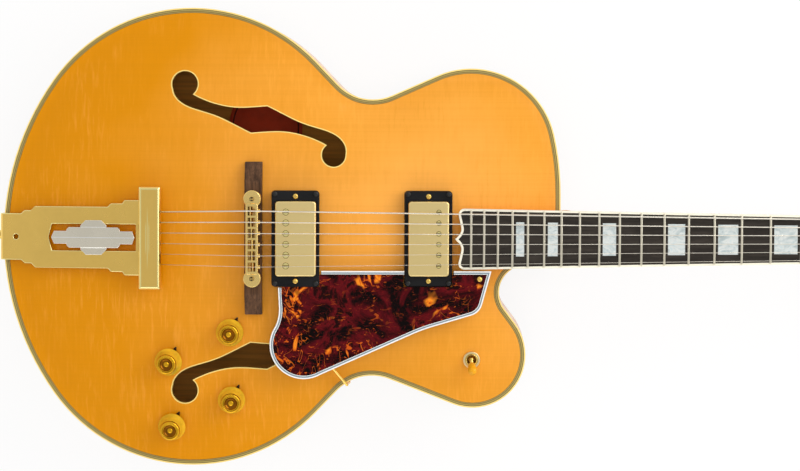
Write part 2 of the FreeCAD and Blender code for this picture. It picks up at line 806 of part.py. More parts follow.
def fret_shapes():
    """Fret wires on the cambered top, between the bindings."""
    crown = camber(BOARD_CAMBER_R + FRET_H, board_end() - 20, nut_place() + 20)
    under = camber(BOARD_CAMBER_R, board_end() - 20, nut_place() + 20)
    tube = crown.cut(under)
    wires = []
    for number in range(1, FRET_COUNT + 1):
        place = fret_place(number)
        half = board_half(place) - BOARD_BINDING_W / 2
        strip = box(place - FRET_W / 2, place + FRET_W / 2, -half, half, -4, 4)
        wires.append(tube.common(strip))
    return wires


def shaft_section(place, half, top, depth):
    """Round-backed section of the neck shaft at a length."""
    left = V(place, half, top)
    right = V(place, -half, top)
    flank = 0.72
    points = [left, V(place, half * 0.93, top - depth * 0.42), V(place, half * flank, top - depth * 0.76),
              V(place, 0, top - depth), V(place, -half * flank, top - depth * 0.76),
              V(place, -half * 0.93, top - depth * 0.42), right]
    curve = Part.BSplineCurve()
    curve.interpolate(points)
    return Part.Wire([curve.toShape(), Part.makeLine(right, left)])


def heel_section(level, half, out):
    """Rounded section of the heel at a height."""
    curve = Part.BSplineCurve()
    curve.interpolate([V(0, -half, level), V(out * 0.62, -half * 0.72, level), V(out, 0, level),
                       V(out * 0.62, half * 0.72, level), V(0, half, level)])
    return Part.Wire([curve.toShape(), Part.makeLine(V(0, half, level), V(0, -half, level))])


def neck_heel():
    """Heel from the shaft down to its cap at the back of the body."""
    top_half = board_half(0) - 0.2
    top = BOARD_TOP_Z - BOARD_T - 6.0
    sections = []
    for share in (0.0, 0.18, 0.45, 0.75, 1.0):
        ease = (1 - share) ** 2
        level = top + (-RIM_DEPTH - top) * share
        half = HEEL_CAP_HALF + (top_half - HEEL_CAP_HALF) * (1 - share) ** 0.8
        out = HEEL_CAP_OUT + (HEEL_OUT - HEEL_CAP_OUT) * ease
        sections.append(heel_section(level, half, out))
    return Part.makeLoft(sections, True)


def head_wire():
    """Plan of the headstock: spreading sides, rounded shoulders and a low arched top."""
    crown_x = HEAD_LENGTH - HEAD_CROWN_R
    corner_y = HEAD_HALF - HEAD_CORNER_R
    corner_x = crown_x + math.sqrt((HEAD_CROWN_R - HEAD_CORNER_R) ** 2 - corner_y ** 2)
    flare_y = HEAD_NECK_HALF + HEAD_FLARE_R
    circles = [(-NUT_L, -HEAD_NECK_HALF, 0.0, 1), (HEAD_FLARE_X, -flare_y, HEAD_FLARE_R, -1),
               (corner_x, -corner_y, HEAD_CORNER_R, 1), (crown_x, 0.0, HEAD_CROWN_R, 1),
               (corner_x, corner_y, HEAD_CORNER_R, 1), (HEAD_FLARE_X, flare_y, HEAD_FLARE_R, -1),
               (-NUT_L, HEAD_NECK_HALF, 0.0, 1)]
    return tangent_loop(circles)


def head_holes():
    """Holes in the headstock for the posts' bushings and the cover's screws."""
    posts = [rod(BUSHING_R + SLIDE, V(x, y, -40), V(x, y, 5)) for x, y in tuner_places()]
    cover = [rod(SCREW_R + RUN, V(x, y, -8), V(x, y, 5)) for x, y in truss_cover_screws()]
    return posts + cover


def head_block():
    """Headstock wood with its post holes, in its own frame."""
    block = prism(head_wire(), -VENEER_T - HEAD_T, -VENEER_T)
    return block.cut(head_holes())


def truss_solids():
    """Truss rod in the neck's channel and its nut at the headstock, in the fingerboard's frame."""
    low = -BOARD_T - TRUSS_R - TRUSS_DEPTH
    nut_start = nut_place() + NUT_L + 2.0
    bar = rod(TRUSS_R, V(8, 0, low), V(nut_start, 0, low))
    nut = rod(TRUSS_NUT_R, V(nut_start, 0, low), V(nut_start + TRUSS_NUT_L, 0, low))
    return bar, nut


def neck(arch):
    """Neck with its heel, tenon, extension over the body and headstock."""
    under = -BOARD_T
    nut = nut_place()
    end = board_end() + BOARD_BINDING_W + 2
    sections = [shaft_section(nut + NUT_L, NUT_WIDTH / 2, under, SHAFT_DEPTH_NUT),
                shaft_section(nut / 2, board_half(nut / 2), under, (SHAFT_DEPTH_NUT + SHAFT_DEPTH_BODY) / 2),
                shaft_section(0.0, board_half(0), under, SHAFT_DEPTH_BODY)]
    shaft = Part.makeLoft(sections, True)
    half = board_half(end) - 3.0
    extension = prism(polygon([(6, -half), (6, half), (end, half), (end, -half)]), under - 40, under)
    level = truss_solids()[0].CenterOfMass.z
    channel = rod(TRUSS_R + SLIDE, V(8 - SLIDE, 0, level), V(nut + NUT_L + 2, 0, level))
    slot = rod(TRUSS_NUT_BORE, V(nut + NUT_L, 0, level), V(nut + 34, 0, level))
    frame = neck_frame()
    shaft, extension, channel, slot = [placed(part, frame) for part in (shaft, extension, channel, slot)]
    over_top = arch.face(TOP_ARCH, 2 * SEAT).extrude(V(0, 0, -80))
    in_front = box(-400, 0, -60, 60, -200, 200)
    extension = extension.cut(over_top)
    shaft = shaft.cut(in_front)
    edge_gap = box(-400, 0, -60, 60, -200, SEAT)
    extension = extension.cut(edge_gap)
    head = placed(head_block(), head_frame())
    board_room = prism(board_wire(0.0), under, 30)
    nut_room = box(nut, nut + NUT_L, -40, 40, -VENEER_BELOW_BOARD, 30)
    board_room, nut_room = [placed(part, neck_frame()) for part in (board_room, nut_room)]
    wood = shaft.fuse([neck_heel(), extension, tenon(), head])
    return wood.cut([channel, slot, board_room, nut_room]).removeSplitter()


def headstock_veneer():
    """Dark face of the headstock, with its post holes and the pocket of the truss rod nut."""
    sheet = prism(head_wire(), -VENEER_T, 0.0)
    sheet = placed(sheet.cut(head_holes()), head_frame())
    bar, nut_piece = truss_solids()
    slot = rod(TRUSS_NUT_BORE, V(nut_place() + NUT_L, 0, bar.CenterOfMass.z),
               V(nut_place() + 34, 0, bar.CenterOfMass.z))
    behind = box(nut_place() - 40, nut_place() + NUT_L, -60, 60, -60, 60)
    return sheet.cut([placed(slot, neck_frame()), placed(behind, neck_frame())])


def truss_rod_cover():
    """Small bell-shaped cover over the truss rod nut."""
    circles = [(2.0, -11.0, 0.0, 1), (24.0, -4.0, 5.0, 1), (34.0, 0.0, 3.0, 1), (24.0, 4.0, 5.0, 1),
               (2.0, 11.0, 0.0, 1)]
    cover = prism(tangent_loop(circles), SEAT, SEAT + TRUSS_COVER_T)
    holes = [rod(SCREW_R + SLIDE, V(x, y, -5), V(x, y, 9)) for x, y in truss_cover_screws()]
    return placed(cover.cut(holes), head_frame())


def truss_cover_screws():
    """Places of the cover's screws on the headstock."""
    return [(5.5, 7.0), (5.5, -7.0), (31.0, 0.0)]


def nut_solid():
    """String nut with its slots."""
    half = NUT_WIDTH / 2
    start = nut_place()
    block = box(start, start + NUT_L, -half, half, -VENEER_BELOW_BOARD,
                FRET_H + NUT_ABOVE_FRET)
    block = placed(block, neck_frame())
    slots = []
    for index, diameter in enumerate(STRING_DIAMETERS):
        point = nut_point(index)
        post = head_frame().multVec(winding(index)[0][0])
        for target in (saddle_point(index), post):
            way = (target - point).normalize()
            for lift in (0.0, 0.5, 1.0, 2.0):
                start = point + V(0, 0, lift * diameter)
                slots.append(rod(diameter / 2 + SLIDE, start - way * 0.2, start + way * 9))
    return block.cut(slots)


def head_edge_half(x):
    """Half width of the headstock at a length, taken as a straight taper."""
    share = x / (HEAD_LENGTH - 34.0)
    return HEAD_NECK_HALF + 4.0 + (HEAD_HALF - HEAD_NECK_HALF - 4.0) * share


def key_axis_z():
    """Height of the key shafts under the headstock's face."""
    return -VENEER_T - HEAD_T - KEY_DROP


def tuner_key(index):
    """Key with its shaft and worm."""
    x, y = tuner_places()[index]
    side = 1 if y > 0 else -1
    level = key_axis_z()
    axis_x = x + WORM_R + POST_R + 1.6
    start = V(axis_x, y - side * 5.0, level)
    edge = max(head_edge_half(x), abs(y) + 12.0) + KEY_EDGE_GAP
    collar = V(axis_x, side * edge, level)
    worm = rod(WORM_R, start, V(axis_x, y + side * 5.0, level))
    shaft = rod(KEY_SHAFT_R, V(axis_x, y + side * 4.0, level), collar + V(0, side * 2.0, 0))
    collar_ring = rod(KEY_SHAFT_R + 1.4, collar - V(0, side * 2.0, 0), collar)
    plan = [(-4.5, 2.0, 2.0, 1), (4.5, 2.0, 2.0, 1), (KEY_W / 2 - 5.0, KEY_L - 5.0, 5.0, 1),
            (5.0 - KEY_W / 2, KEY_L - 5.0, 5.0, 1)]
    blade = prism(tangent_loop(plan), -KEY_T / 2, KEY_T / 2)
    rims = [edge for edge in blade.Edges if abs(edge.CenterOfMass.z) > KEY_T / 2 - 0.01]
    blade = blade.makeFillet(2.4, rims)
    if side < 0:
        blade = mirrored_y(blade)
    blade.translate(collar)
    return placed(worm.fuse([shaft, collar_ring, blade]).removeSplitter(), head_frame())


def tuner_post(index):
    """String post with its gear disc inside the housing."""
    x, y = tuner_places()[index]
    level = key_axis_z()
    disc_r = POST_R + 1.6 - 0.3
    post = rod(POST_R, V(x, y, level - 2.0), V(x, y, POST_ABOVE))
    waist = rod(POST_R, V(x, y, 4.0), V(x, y, 12.5)).cut(rod(POST_R - 0.45, V(x, y, 4.0), V(x, y, 12.5)))
    disc = rod(disc_r, V(x, y, level - 2.0), V(x, y, level + 2.0))
    hole = rod(0.9, V(x - 9, y, 8.0), V(x + 9, y, 8.0))
    return placed(post.cut([waist, hole]).fuse(disc).removeSplitter(), head_frame())


def tuner_housings():
    """Gear housings under the headstock and bushings on its face."""
    solids = []
    low = -VENEER_T - HEAD_T
    for x, y in tuner_places():
        side = 1 if y > 0 else -1
        level = key_axis_z()
        shell = rounded_box(HOUSING_L, HOUSING_W, low - HOUSING_H, low, 3.0)
        shell.translate(V(x + 2.5, y, 0))
        room_l = HOUSING_L - 2 * HOUSING_WALL
        room_w = HOUSING_W - 2 * HOUSING_WALL
        room = rounded_box(room_l, room_w, low - HOUSING_H + HOUSING_WALL, low - HOUSING_WALL, 2.0)
        room.translate(V(x + 2.5, y, 0))
        neck_hole = rod(POST_R + RUN, V(x, y, low - 2), V(x, y, low + 2))
        axis_x = x + WORM_R + POST_R + 1.6
        key_hole = rod(KEY_SHAFT_R + RUN, V(axis_x, y, level), V(axis_x, y + side * HOUSING_W, level))
        solids.append(shell.cut([room, neck_hole, key_hole]))
        sleeve = rod(BUSHING_R, V(x, y, -VENEER_T - 8.0), V(x, y, BUSHING_FLANGE_T))
        flange = rod(BUSHING_FLANGE_R, V(x, y, SEAT), V(x, y, BUSHING_FLANGE_T))
        bore = rod(POST_R + RUN, V(x, y, -30), V(x, y, 5))
        solids.append(sleeve.fuse(flange).cut(bore).removeSplitter())
    return Part.makeCompound([placed(solid, head_frame()) for solid in solids])


def arc_by_tangent(start, corner, end):
    """Arc from start to end whose tangents meet at a corner."""
    chord = (start + end) * 0.5
    reach = corner - chord
    half = start.distanceToPoint(end) / 2
    if reach.Length < 1e-6:
        return Part.makeLine(start, end)
    rise = half * math.tan(math.atan2(reach.Length, half) / 2)
    return Part.Arc(start, chord + reach.normalize() * rise, end).toShape()


def biarc(start, start_way, end, end_way):
    """Two tangent arcs between two points with given directions."""
    chord = end - start
    ways = start_way + end_way
    spare = 2 * (1 - start_way.dot(end_way))
    along = chord.dot(ways)
    if spare < 1e-9:
        reach = chord.Length / 4
    else:
        reach = (math.sqrt(along * along + spare * chord.dot(chord)) - along) / spare
    first = start + start_way * reach
    last = end - end_way * reach
    middle = (first + last) * 0.5
    return [arc_by_tangent(start, first, middle), arc_by_tangent(middle, last, end)]


def bent(before, corner, after):
    """Points where a rounded bend of the string leaves and joins its straight runs."""
    way_in = (corner - before).normalize()
    way_out = (after - corner).normalize()
    turn = way_in.getAngle(way_out)
    reach = STRING_BEND_R * math.tan(turn / 2)
    return corner - way_in * reach, corner + way_out * reach


def winding(index):
    """Points and directions of a string's turns on its post, a quarter turn apart, in the head's frame."""
    x, y = tuner_places()[index]
    diameter = STRING_DIAMETERS[index]
    radius = POST_R + WIND_CLEAR + diameter / 2
    side = 1 if y > 0 else -1
    fall = diameter + WIND_SELF_GAP
    first_level = 11.5
    start_angle = -side * math.pi / 2
    points = []
    for quarter in range(int(WIND_TURNS * 4) + 1):
        angle = start_angle + side * quarter * math.pi / 2
        level = first_level - fall * quarter / 4
        point = V(x + radius * math.cos(angle), y + radius * math.sin(angle), level)
        way = V(-math.sin(angle) * side, math.cos(angle) * side, -fall / (2 * math.pi * radius))
        points.append((point, way.normalize()))
    return points


def least_gap(index):
    """Least clear distance between neighbouring turns of one string, measured on sampled points."""
    points = [point for point, _ in winding(index)]
    gaps = []
    for number, point in enumerate(points[:-4]):
        gaps.append(point.distanceToPoint(points[number + 4]) - STRING_DIAMETERS[index])
    return min(gaps)


def tail_point(index):
    """Where a string ends inside the crossbar."""
    y = string_offset(index, STRING_PITCH_TAIL)
    return V(CROSSBAR_X - CROSSBAR_L / 2 + 5.0, y, crossbar_low() + CROSSBAR_H * 0.45)


def tail_exit(index):
    """Where a string leaves the crossbar."""
    point = tail_point(index)
    return V(CROSSBAR_X + CROSSBAR_L / 2, point.y, point.z)


def string_solid(index):
    """One string as an unbroken tube, from the crossbar over its saddle and the nut to its post."""
    frame = head_frame()
    turns = [(frame.multVec(point), frame.Rotation.multVec(way)) for point, way in winding(index)]
    tail = tail_point(index)
    saddle = saddle_point(index)
    nut = nut_point(index)
    first, first_way = turns[0]
    saddle_in, saddle_out = bent(tail, saddle, nut)
    lead_end = first - (first - nut).normalize() * 7.0
    nut_in, nut_out = bent(saddle, nut, lead_end)
    edges = [Part.makeLine(tail, saddle_in), arc_by_tangent(saddle_in, saddle, saddle_out),
             Part.makeLine(saddle_out, nut_in), arc_by_tangent(nut_in, nut, nut_out),
             Part.makeLine(nut_out, lead_end)]
    edges += biarc(lead_end, (lead_end - nut_out).normalize(), first, first_way)
    for (start, start_way), (end, end_way) in zip(turns[:-1], turns[1:]):
        edges += biarc(start, start_way, end, end_way)
    path = Part.Wire(edges)
    ring = Part.Wire(Part.makeCircle(STRING_DIAMETERS[index] / 2, tail, saddle_in - tail))
    tube = path.makePipeShell([ring], True, False)
    share = tube.Volume / (math.pi * (STRING_DIAMETERS[index] / 2) ** 2 * path.Length)
    print("string", index + 1, "valid", tube.isValid(), "volume share", round(share, 4),
          "least gap", round(least_gap(index), 3))
    return tube


def bridge_base(arch):
    """Wooden bridge foot, carved to the top, with sloping ends."""
    half = BASE_L / 2
    end_z = arch.top_z(BRIDGE_X, half) + BASE_END_H
    side = [V(0, -half, -20), V(0, half, -20), V(0, half, end_z), V(0, BASE_TOP_L / 2, BASE_TOP_Z),
            V(0, -BASE_TOP_L / 2, BASE_TOP_Z), V(0, -half, end_z)]
    block = Part.Face(Part.makePolygon(side + [side[0]])).extrude(V(BASE_W, 0, 0))
    block.translate(V(BRIDGE_X - BASE_W / 2, 0, 0))
    plan = rounded_box(BASE_W, BASE_L, -30, 60, BASE_CORNER_R)
    plan.translate(V(BRIDGE_X, 0, 0))
    under = arch.face(TOP_ARCH, SEAT).extrude(V(0, 0, -80))
    holes = [rod(STUD_R, V(BRIDGE_X, y, BASE_TOP_Z - 8), V(BRIDGE_X, y, 60)) for y in stud_places()]
    return block.common(plan).cut([under] + holes)


def stud_places():
    """Sideways places of the bridge posts."""
    return (STUD_SPACING / 2, -STUD_SPACING / 2)


def bridge_posts():
    """Threaded posts in the bridge foot, with a driver slot."""
    posts = []
    for y in stud_places():
        post = rod(STUD_R, V(BRIDGE_X, y, BASE_TOP_Z - 8), V(BRIDGE_X, y, STUD_TOP_Z))
        slot = box(BRIDGE_X - 5, BRIDGE_X + 5, y - 0.35, y + 0.35, STUD_TOP_Z - 1.2, STUD_TOP_Z + 5)
        posts.append(post.cut(slot))
    return Part.makeCompound(posts)


def wheel_low():
    """Underside of the thumbwheels, lifted off the foot."""
    return BASE_TOP_Z + WHEEL_LIFT


def beam_low():
    """Underside of the beam, on the thumbwheels."""
    return wheel_low() + WHEEL_T + SEAT


def thumbwheel(y):
    """Round nut that carries one end of the beam."""
    wheel = rod(WHEEL_R, V(BRIDGE_X, y, wheel_low()), V(BRIDGE_X, y, wheel_low() + WHEEL_T))
    wheel = wheel.makeChamfer(0.4, [edge for edge in wheel.Edges if edge.Length > 2 * WHEEL_R])
    return wheel.cut(rod(STUD_R + RUN, V(BRIDGE_X, y, 0), V(BRIDGE_X, y, 60)))


def saddle_slot_y(index):
    """Side faces of a saddle's slot in the beam."""
    y = string_offset(index, STRING_PITCH_BRIDGE)
    return y - SADDLE_W / 2 - SADDLE_CLEAR, y + SADDLE_W / 2 + SADDLE_CLEAR


def screw_level():
    """Height of the intonation screws."""
    return beam_low() + BEAM_FLOOR + 2.2


def saddle_room():
    """Lengths along the body between the beam's walls."""
    return BRIDGE_X - BEAM_W / 2 + BEAM_WALL, BRIDGE_X + BEAM_W / 2 - BEAM_WALL


def bridge_beam():
    """Metal beam with a slot for each saddle and holes for the posts and screws."""
    low = beam_low()
    beam = rounded_box(BEAM_W, BEAM_L, low, low + BEAM_H, 2.0)
    beam.translate(V(BRIDGE_X, 0, 0))
    beam = beam.makeFillet(0.8, [edge for edge in beam.Edges if edge.CenterOfMass.z > low + BEAM_H - 0.01])
    lugs = [rod(LUG_R, V(BRIDGE_X, y, low), V(BRIDGE_X, y, low + LUG_H)) for y in stud_places()]
    lugs = [lug.makeChamfer(0.6, [lug.Edges[0]]) for lug in lugs]
    beam = beam.fuse(lugs)
    back, front = saddle_room()
    cuts = []
    for index in range(6):
        y0, y1 = saddle_slot_y(index)
        cuts.append(box(back, front, y0, y1, low + BEAM_FLOOR, 80))
        y = string_offset(index, STRING_PITCH_BRIDGE)
        middle = V(BRIDGE_X, y, screw_level())
        cuts.append(rod(SADDLE_SCREW_R + RUN, middle - V(BEAM_W, 0, 0), middle + V(BEAM_W, 0, 0)))
    cuts += [rod(STUD_R + SLIDE, V(BRIDGE_X, y, 0), V(BRIDGE_X, y, 80)) for y in stud_places()]
    return beam.cut(cuts)


def saddle(index):
    """Saddle with a ridge under its string, threaded on its screw."""
    point = saddle_point(index)
    low = beam_low() + BEAM_FLOOR + SADDLE_CLEAR
    high = point.z - STRING_DIAMETERS[index] / 2 - SLIDE
    x = point.x
    profile = [V(x - SADDLE_L / 2, 0, low), V(x + SADDLE_L / 2, 0, low), V(x + SADDLE_L / 2, 0, high - 3.0),
               V(x + SADDLE_TOP_L / 2, 0, high), V(x - SADDLE_TOP_L / 2, 0, high),
               V(x - SADDLE_L / 2, 0, high - 3.0)]
    block = Part.Face(Part.makePolygon(profile + [profile[0]])).extrude(V(0, SADDLE_W, 0))
    block.translate(V(0, point.y - SADDLE_W / 2, 0))
    bore = rod(SADDLE_SCREW_R + RUN, V(x - 20, point.y, screw_level()), V(x + 20, point.y, screw_level()))
    return block.cut(bore)


def intonation_screws():
    """Screws that set the saddles, with their heads on the neck side of the beam."""
    screws = []
    front = BRIDGE_X + BEAM_W / 2
    for index in range(6):
        y = string_offset(index, STRING_PITCH_BRIDGE)
        seat = V(front + SEAT, y, screw_level())
        shank = rod(SADDLE_SCREW_R, V(BRIDGE_X - BEAM_W / 2 + 0.6, y, screw_level()), seat)
        head = rod(SADDLE_HEAD_R, seat, seat + V(SADDLE_HEAD_L, 0, 0))
        slot = box(front + SEAT + SADDLE_HEAD_L - 0.6, front + 10, y - 0.3, y + 0.3, 0, 80)
        screws.append(shank.fuse(head).cut(slot).removeSplitter())
    return Part.makeCompound(screws)


def tail_half_outline():
    """Stepped edge of the tailpiece plate on the bass side, from the tail to the crossbar."""
    narrow = TAIL_NARROW_W / 2
    wide = TAIL_PLATE_W / 2
    step = TAIL_STEP_W / 2
    bar = CROSSBAR_X - CROSSBAR_L / 2
    steps = [(-20.0, narrow), (18.0, narrow), (21.5, narrow + step), (28.0, narrow + step), (32.0, wide),
             (102.0, wide), (105.0, wide + step), (116.0, wide + step), (118.0, wide + 2 * step)]
    return [(run - BODY_LENGTH, half) for run, half in steps] + [(bar + 6.0, wide + 2 * step)]


def plate_profile():
    """Side view of the plate's upper face, from the crossbar over the tail edge and down."""
    edge = -BODY_LENGTH - FLANGE_GAP
    return [(CROSSBAR_X + CROSSBAR_L / 2 - 4.0, PLATE_RISE_Z), (CROSSBAR_X - CROSSBAR_L / 2, PLATE_RISE_Z),
            (PLATE_KNEE_X, PLATE_KNEE_Z), (-BODY_LENGTH + 1.0, PLATE_EDGE_Z), (edge, PLATE_EDGE_Z - 1.3),
            (edge, -FLANGE_DEPTH)]


def thick_profile(points, thickness, width):
    """Bent strip: a side-view line thickened outwards and spread across the centreline."""
    line = Part.makePolygon([V(x, 0, z) for x, z in points])
    outline = line.makeOffset2D(-thickness, 2, True, True)
    face = Part.Face(outline)
    strip = face.extrude(V(0, width, 0))
    strip.translate(V(0, -width / 2, 0))
    return strip


def tailpiece():
    """Tailpiece plate with its flange, slot and crossbar."""
    edge = tail_half_outline()
    plan = edge + [(x, -y) for x, y in reversed(edge)]
    strip = thick_profile(plate_profile(), TAIL_PLATE_T, CROSSBAR_W)
    plate = strip.common(prism(polygon(plan), -RIM_DEPTH, 80))
    half = SLOT_W / 2
    slot = prism(polygon([(SLOT_FROM, -half), (SLOT_TO, -half), (SLOT_TO, half), (SLOT_FROM, half),
                          (SLOT_FROM - SLOT_POINT, 0)]), -40, 80)
    hole = rod(ADJUST_HOLE_R, V(ADJUST_HOLE_X, 0, -40), V(ADJUST_HOLE_X, 0, 80))
    low = crossbar_low()
    bar = box(CROSSBAR_X - CROSSBAR_L / 2, CROSSBAR_X + CROSSBAR_L / 2, -CROSSBAR_W / 2, CROSSBAR_W / 2,
              low + SEAT, low + CROSSBAR_H)
    rims = [edge for edge in bar.Edges if edge.CenterOfMass.z > low + CROSSBAR_H - 0.01]
    bar = bar.makeChamfer(CROSSBAR_BEVEL, rims)
    holes = []
    for index, diameter in enumerate(STRING_DIAMETERS):
        start = tail_point(index)
        ahead = saddle_point(index) - start
        holes.append(rod(diameter / 2 + SLIDE, start - ahead * 0.004, start + ahead * 0.4))
    way = V(20, 0, 0)
    places = [V(-BODY_LENGTH, y, z) for y, z in flange_screws()]
    screws = [rod(SCREW_R + SLIDE, place - way, place + way) for place in places]
    pin = rod(3.0 + SLIDE, V(-BODY_LENGTH - 20, 0, STRAP_BUTTON_Z), V(-BODY_LENGTH + 5, 0, STRAP_BUTTON_Z))
    return Part.makeCompound([plate.cut([slot, hole, pin] + screws), bar.cut(holes)])


def flange_screws():
    """Sideways places and heights of the screws through the tailpiece flange."""
    return [(14.0, -22.0), (-14.0, -22.0), (0.0, -56.0)]


def plate_slope():
    """Rise of the plate between its knee and the crossbar."""
    run = CROSSBAR_X - CROSSBAR_L / 2 - PLATE_KNEE_X
    return math.degrees(math.atan2(PLATE_RISE_Z - PLATE_KNEE_Z, run))


def insert_bar_plan():
    """Outline of the insert's bar, with a low point at each end."""
    x = INSERT_BAR_L / 2
    y = INSERT_BAR_W / 2
    shoulder = x - INSERT_POINT
    return polygon([(-x, 0), (-shoulder, -y), (shoulder, -y), (x, 0), (shoulder, y), (-shoulder, y)])


def insert_step_plan(length, width, cut):
    """Outline of one wider step of the insert, with cut corners."""
    x = length / 2
    y = width / 2
    return polygon([(-x, -y + cut), (-x + cut, -y), (x - cut, -y), (x, -y + cut), (x, y - cut), (x - cut, y),
                    (-x + cut, y), (-x, y - cut)])


def tailpiece_insert():
    """Stepped insert on the plate across its slot: a peaked bar with a wider middle, on two low tabs."""
    middle = (SLOT_FROM + SLOT_TO) / 2
    step = insert_step_plan(INSERT_STEP_L, INSERT_STEP_W, INSERT_STEP_CUT)
    tabs = insert_step_plan(INSERT_TAB_L, INSERT_TAB_W, INSERT_TAB_CUT)
    bar = prism(insert_bar_plan(), 0, INSERT_RIDGE).fuse(prism(step, 0, INSERT_RIDGE))
    reach = INSERT_BAR_L
    half = INSERT_STEP_W / 2
    roof = [V(-reach, -half, 0), V(-reach, half, 0), V(-reach, half, INSERT_EAVE), V(-reach, 0, INSERT_RIDGE),
            V(-reach, -half, INSERT_EAVE)]
    peaked = bar.common(Part.Face(Part.makePolygon(roof + [roof[0]])).extrude(V(2 * reach, 0, 0)))
    insert = peaked.fuse(prism(tabs, 0, INSERT_TAB_H)).removeSplitter()
    run = CROSSBAR_X - CROSSBAR_L / 2 - PLATE_KNEE_X
    height = PLATE_KNEE_Z + (PLATE_RISE_Z - PLATE_KNEE_Z) * (middle - PLATE_KNEE_X) / run
    lift = (TAIL_PLATE_T + SEAT) / math.cos(math.radians(plate_slope()))
    return placed(insert, turn_about_y(V(middle, 0, height + lift), -plate_slope()))


def strap_button():
    """Button at the tail, with its pin in the tail block."""
    out = STRAP_BUTTON_L
    profile = [(0, -25.0), (2.8, -25.0), (2.8, 0.0), (5.5, 0.0), (3.6, out * 0.35), (4.2, out * 0.6),
               (STRAP_BUTTON_R, out * 0.78), (STRAP_BUTTON_R, out * 0.93), (5.0, out), (0, out)]
    button = turned(profile)
    start = -BODY_LENGTH - FLANGE_GAP - TAIL_PLATE_T
    outwards = FreeCAD.Rotation(Z_AXIS, V(-1, 0, 0))
    return placed(button, FreeCAD.Placement(V(start, 0, STRAP_BUTTON_Z), outwards))


def tail_bores():
    """Holes that the strap button and the flange screws take up in the tail wood."""
    start = -BODY_LENGTH - 5
    pin = rod(2.8 + RUN, V(start, 0, STRAP_BUTTON_Z), V(start + 35, 0, STRAP_BUTTON_Z))
    screws = [rod(SCREW_R + RUN, V(start, y, z), V(start + 20, y, z)) for y, z in flange_screws()]
    return [pin] + screws


def pickup_ring(arch, x):
    """Mounting ring between the top and the pickup, square to the strings on its upper side."""
    top = -RING_BELOW_COVER
    ring = rounded_box(RING_L, RING_W, -60, top, RING_CORNER_R)
    ring = ring.makeFillet(1.2, [edge for edge in ring.Edges if edge.CenterOfMass.z > top - 0.01])
    opening = rounded_box(COVER_L + 2 * RING_CLEAR, COVER_W + 2 * RING_CLEAR, -70, 5, COVER_CORNER_R)
    holes = [rod(SCREW_R + SLIDE, V(0, y, -70), V(0, y, 5)) for y in height_screw_places()]
    holes += [rod(SCREW_R + SLIDE, V(sx, sy, -70), V(sx, sy, 5)) for sx, sy in ring_screw_places()]
    leg = RING_W / 2 - RING_SIDE
    leg_room = box(-RING_LEG_HALF, RING_LEG_HALF, -leg, leg, -70, top - RING_ROOF)
    ring = placed(ring.cut([opening, leg_room] + holes), pickup_frame(x))
    solid = ring.cut(arch.face(TOP_ARCH, SEAT).extrude(V(0, 0, -120)))
    return max(solid.Solids, key=lambda piece: piece.Volume)


def height_screw_places():
    """Sideways places of the height screws."""
    return (HEIGHT_SCREW_SPACING / 2, -HEIGHT_SCREW_SPACING / 2)


def ring_screw_places():
    """Corner places of the ring screws."""
    x = RING_L / 2 - RING_SCREW_INSET
    y = RING_W / 2 - RING_SCREW_INSET
    return [(x, y), (-x, y), (-x, -y), (x, -y)]


def pickup(x, pole_side):
    """Pickup: cover, base plate with legs, two bobbins and six pole screws."""
    shell = rounded_box(COVER_L, COVER_W, -COVER_H, 0, COVER_CORNER_R)
    shell = shell.makeFillet(1.5, [edge for edge in shell.Edges if edge.CenterOfMass.z > -0.01])
    room = rounded_box(COVER_L - 2 * COVER_WALL, COVER_W - 2 * COVER_WALL, -COVER_H - 1, -COVER_WALL,
                       COVER_CORNER_R - COVER_WALL)
    pole_x = pole_side * POLE_OFFSET
    poles = [V(pole_x, string_offset(index, POLE_PITCH), 0) for index in range(6)]
    pole_holes = [rod(POLE_R + RUN, p - V(0, 0, COVER_H + 9), p + V(0, 0, 5)) for p in poles]
    cover = shell.cut([room] + pole_holes)
    base_low = -COVER_H - 1.6
    half_l = COVER_L / 2 - 0.5
    half_w = COVER_W / 2 - 0.5
    base = box(-half_l, half_l, -half_w, half_w, base_low, -COVER_H - SEAT)
    leg = RING_W / 2 - 2.5
    base = base.fuse(box(-6, 6, -leg, leg, base_low, -COVER_H - SEAT))
    leg_holes = [rod(SCREW_R + RUN, V(0, y, -60), V(0, y, 5)) for y in height_screw_places()]
    base = base.cut(pole_holes + leg_holes).removeSplitter()
    bobbins = []
    for side in (1, -1):
        centre = side * POLE_OFFSET
        half = POLE_OFFSET - 0.9
        bobbin = box(centre - half, centre + half, -COVER_W / 2 + 2, COVER_W / 2 - 2, -COVER_H + 3.0,
                     -COVER_WALL - SEAT)
        bobbins.append(bobbin.cut(pole_holes))
    spacer = box(-6.3, 6.3, -COVER_W / 2 + 4, COVER_W / 2 - 4, -COVER_H, -COVER_H + 3.0 - SEAT)
    spacer = spacer.cut(pole_holes)
    screws = [rod(POLE_R, p + V(0, 0, -COVER_H - 4), p + V(0, 0, POLE_PROUD)) for p in poles]
    slots = [box(p.x - 5, p.x + 5, p.y - 0.4, p.y + 0.4, POLE_PROUD - 0.6, 4) for p in poles]
    screws = [screw.cut(slot) for screw, slot in zip(screws, slots)]
    return placed(Part.makeCompound([cover, base, spacer] + bobbins + screws), pickup_frame(x))


